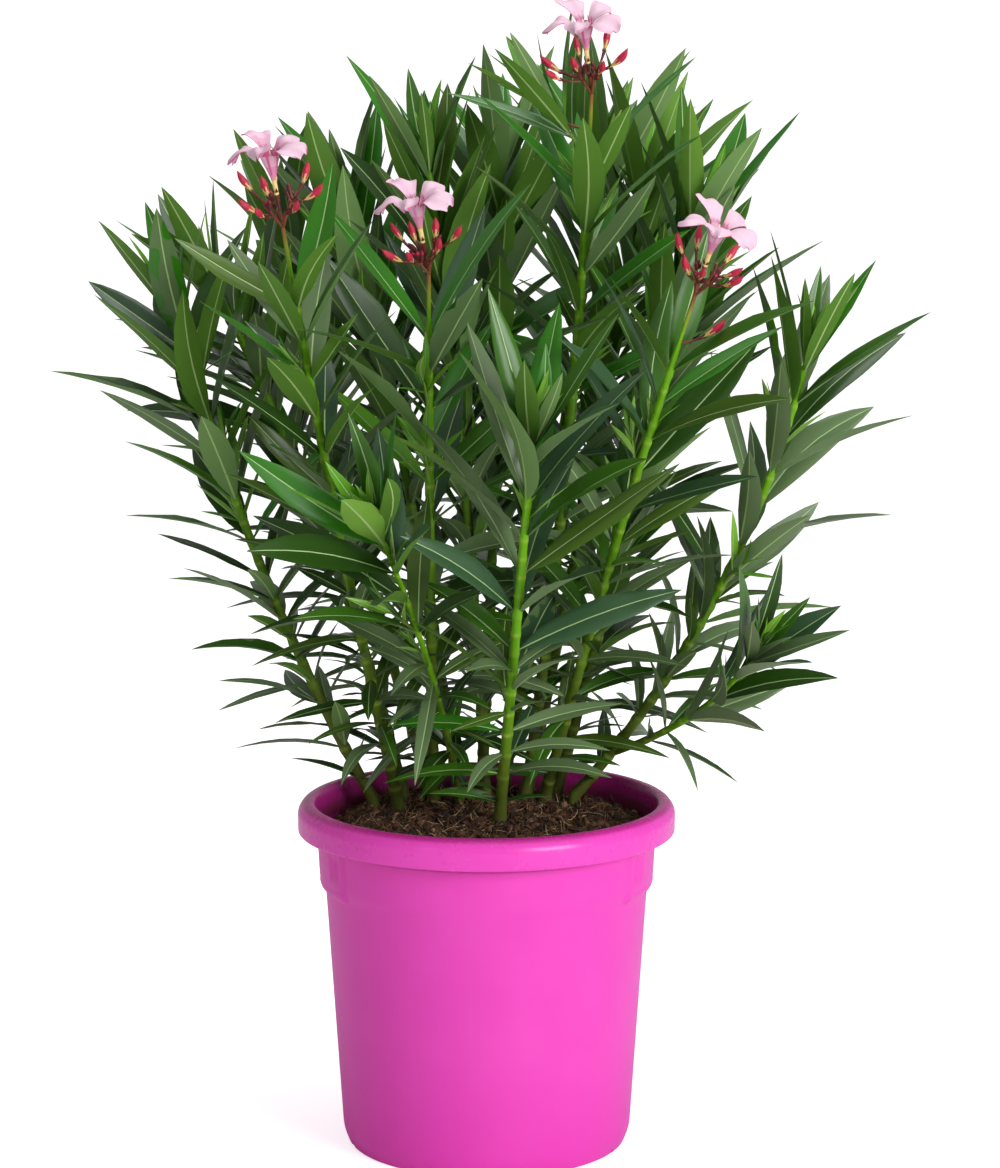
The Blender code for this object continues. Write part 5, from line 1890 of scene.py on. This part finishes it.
def make_light_and_camera():
    """Soft lamps in an even studio light that is white where it is seen past the floor."""
    scene = bpy.context.scene
    world = bpy.data.worlds.new("studio")
    world.use_nodes = True
    sky = world.node_tree.nodes["Background"]
    sky.inputs["Color"].default_value = (1.0, 1.0, 1.0, 1.0)
    nodes = Nodes(world.node_tree)
    seen = nodes.math("MULTIPLY", nodes.add("LightPath").outputs["Is Camera Ray"], 0.73)
    nodes.feed(sky, "Strength", nodes.math("ADD", seen, 0.37))
    scene.world = world
    add_lamp("key", (1.8, -2.1, 1.15), (0.0, 0.0, 0.35), 1.3, 59.0)
    add_lamp("fill", (-1.6, -2.3, 1.2), (0.0, 0.0, 0.35), 0.6, 3.0)
    add_lamp("top", (0.2, 0.2, 2.8), (0.0, 0.0, 0.3), 1.6, 28.0)
    scene.view_settings.view_transform = "Standard"
    data = bpy.data.cameras.new("camera")
    data.sensor_fit = "VERTICAL"
    data.sensor_height = 36.0
    data.lens = CAMERA_REACH * 36.0
    camera = bpy.data.objects.new("camera", data)
    camera.location = CAMERA_PLACE
    camera.rotation_euler = (math.pi / 2 - CAMERA_DIP, 0.0, 0.0)
    scene.collection.objects.link(camera)
    scene.camera = camera


# --- The plant --------------------------------------------------------------

def make_plant(mottle):
    """Grow the crown cane by cane as the solids were grown, then dress each cane.

    The trusses claim their space first, then whorls and side shoots, then the extra
    leaves, and last the young shoots, so that each only takes the room that is left.
    """
    space = Space()
    trusses = {}
    for index, name in enumerate(CANES):
        space.add_limb(name)
        trusses[name], solids = truss(name, random.Random(SEED * 100 + index))
        for points, faces in solids:
            space.add(points, faces)

    grown = {}
    nodes = {}
    for index, name in enumerate(CANES):
        rng = random.Random(CANES[name].seed)
        shoots = grow_shoots(space, name, rng)
        leaves, nodes[name] = grow_whorls(space, name, rng)
        grown[name] = leaves + shoots

    for name in CANES:
        rng = random.Random(CANES[name].seed + FILL_SEED)
        grown[name] += grow_between(space, name, nodes[name], rng)

    bark = bark_material(mottle)
    green = shader_of("twig_green", linear(128, 160, 62), 0.5)
    leaf_colours = leaf_materials()
    blossom_colours = blossom_materials()
    for index, name in enumerate(CANES):
        rng = random.Random(SEED * 3 + index)
        stems, young = grow_axils(space, name, nodes[name], rng)
        if CANES[name].ending == "leafy":
            stem, crest = grow_crest(space, name, random.Random(SEED * 23 + index))
            stems += stem
            young += crest
        if not is_branch(name):
            young += grow_basal(space, name, random.Random(SEED * 19 + index))
        for side in (-1, 1) if CANES[name].shoots else ():
            rings = shoot_rings(name, side)
            stems.append((rings[0][0], rings[-1][0]))
        make_leaves(name, grown[name] + young, leaf_colours, index)
        make_limb(name, nodes[name], bark)
        make_twigs(name, stems, green)
        make_blossom(name, trusses[name], blossom_colours, index)


mottle_nodes = mottle_group()
make_pot(plastic_material(mottle_nodes))
make_soil_bed(peat_material(mottle_nodes))
make_soil_crumbs(tone_materials("crumb", 0.95, CRUMB_TONES))
make_soil_fibres(tone_materials("fibre", 0.8, FIBRE_TONES))
make_soil_chips(tone_materials("chip", 0.85, CHIP_TONES))
make_plant(mottle_nodes)
make_stage()
make_light_and_camera()
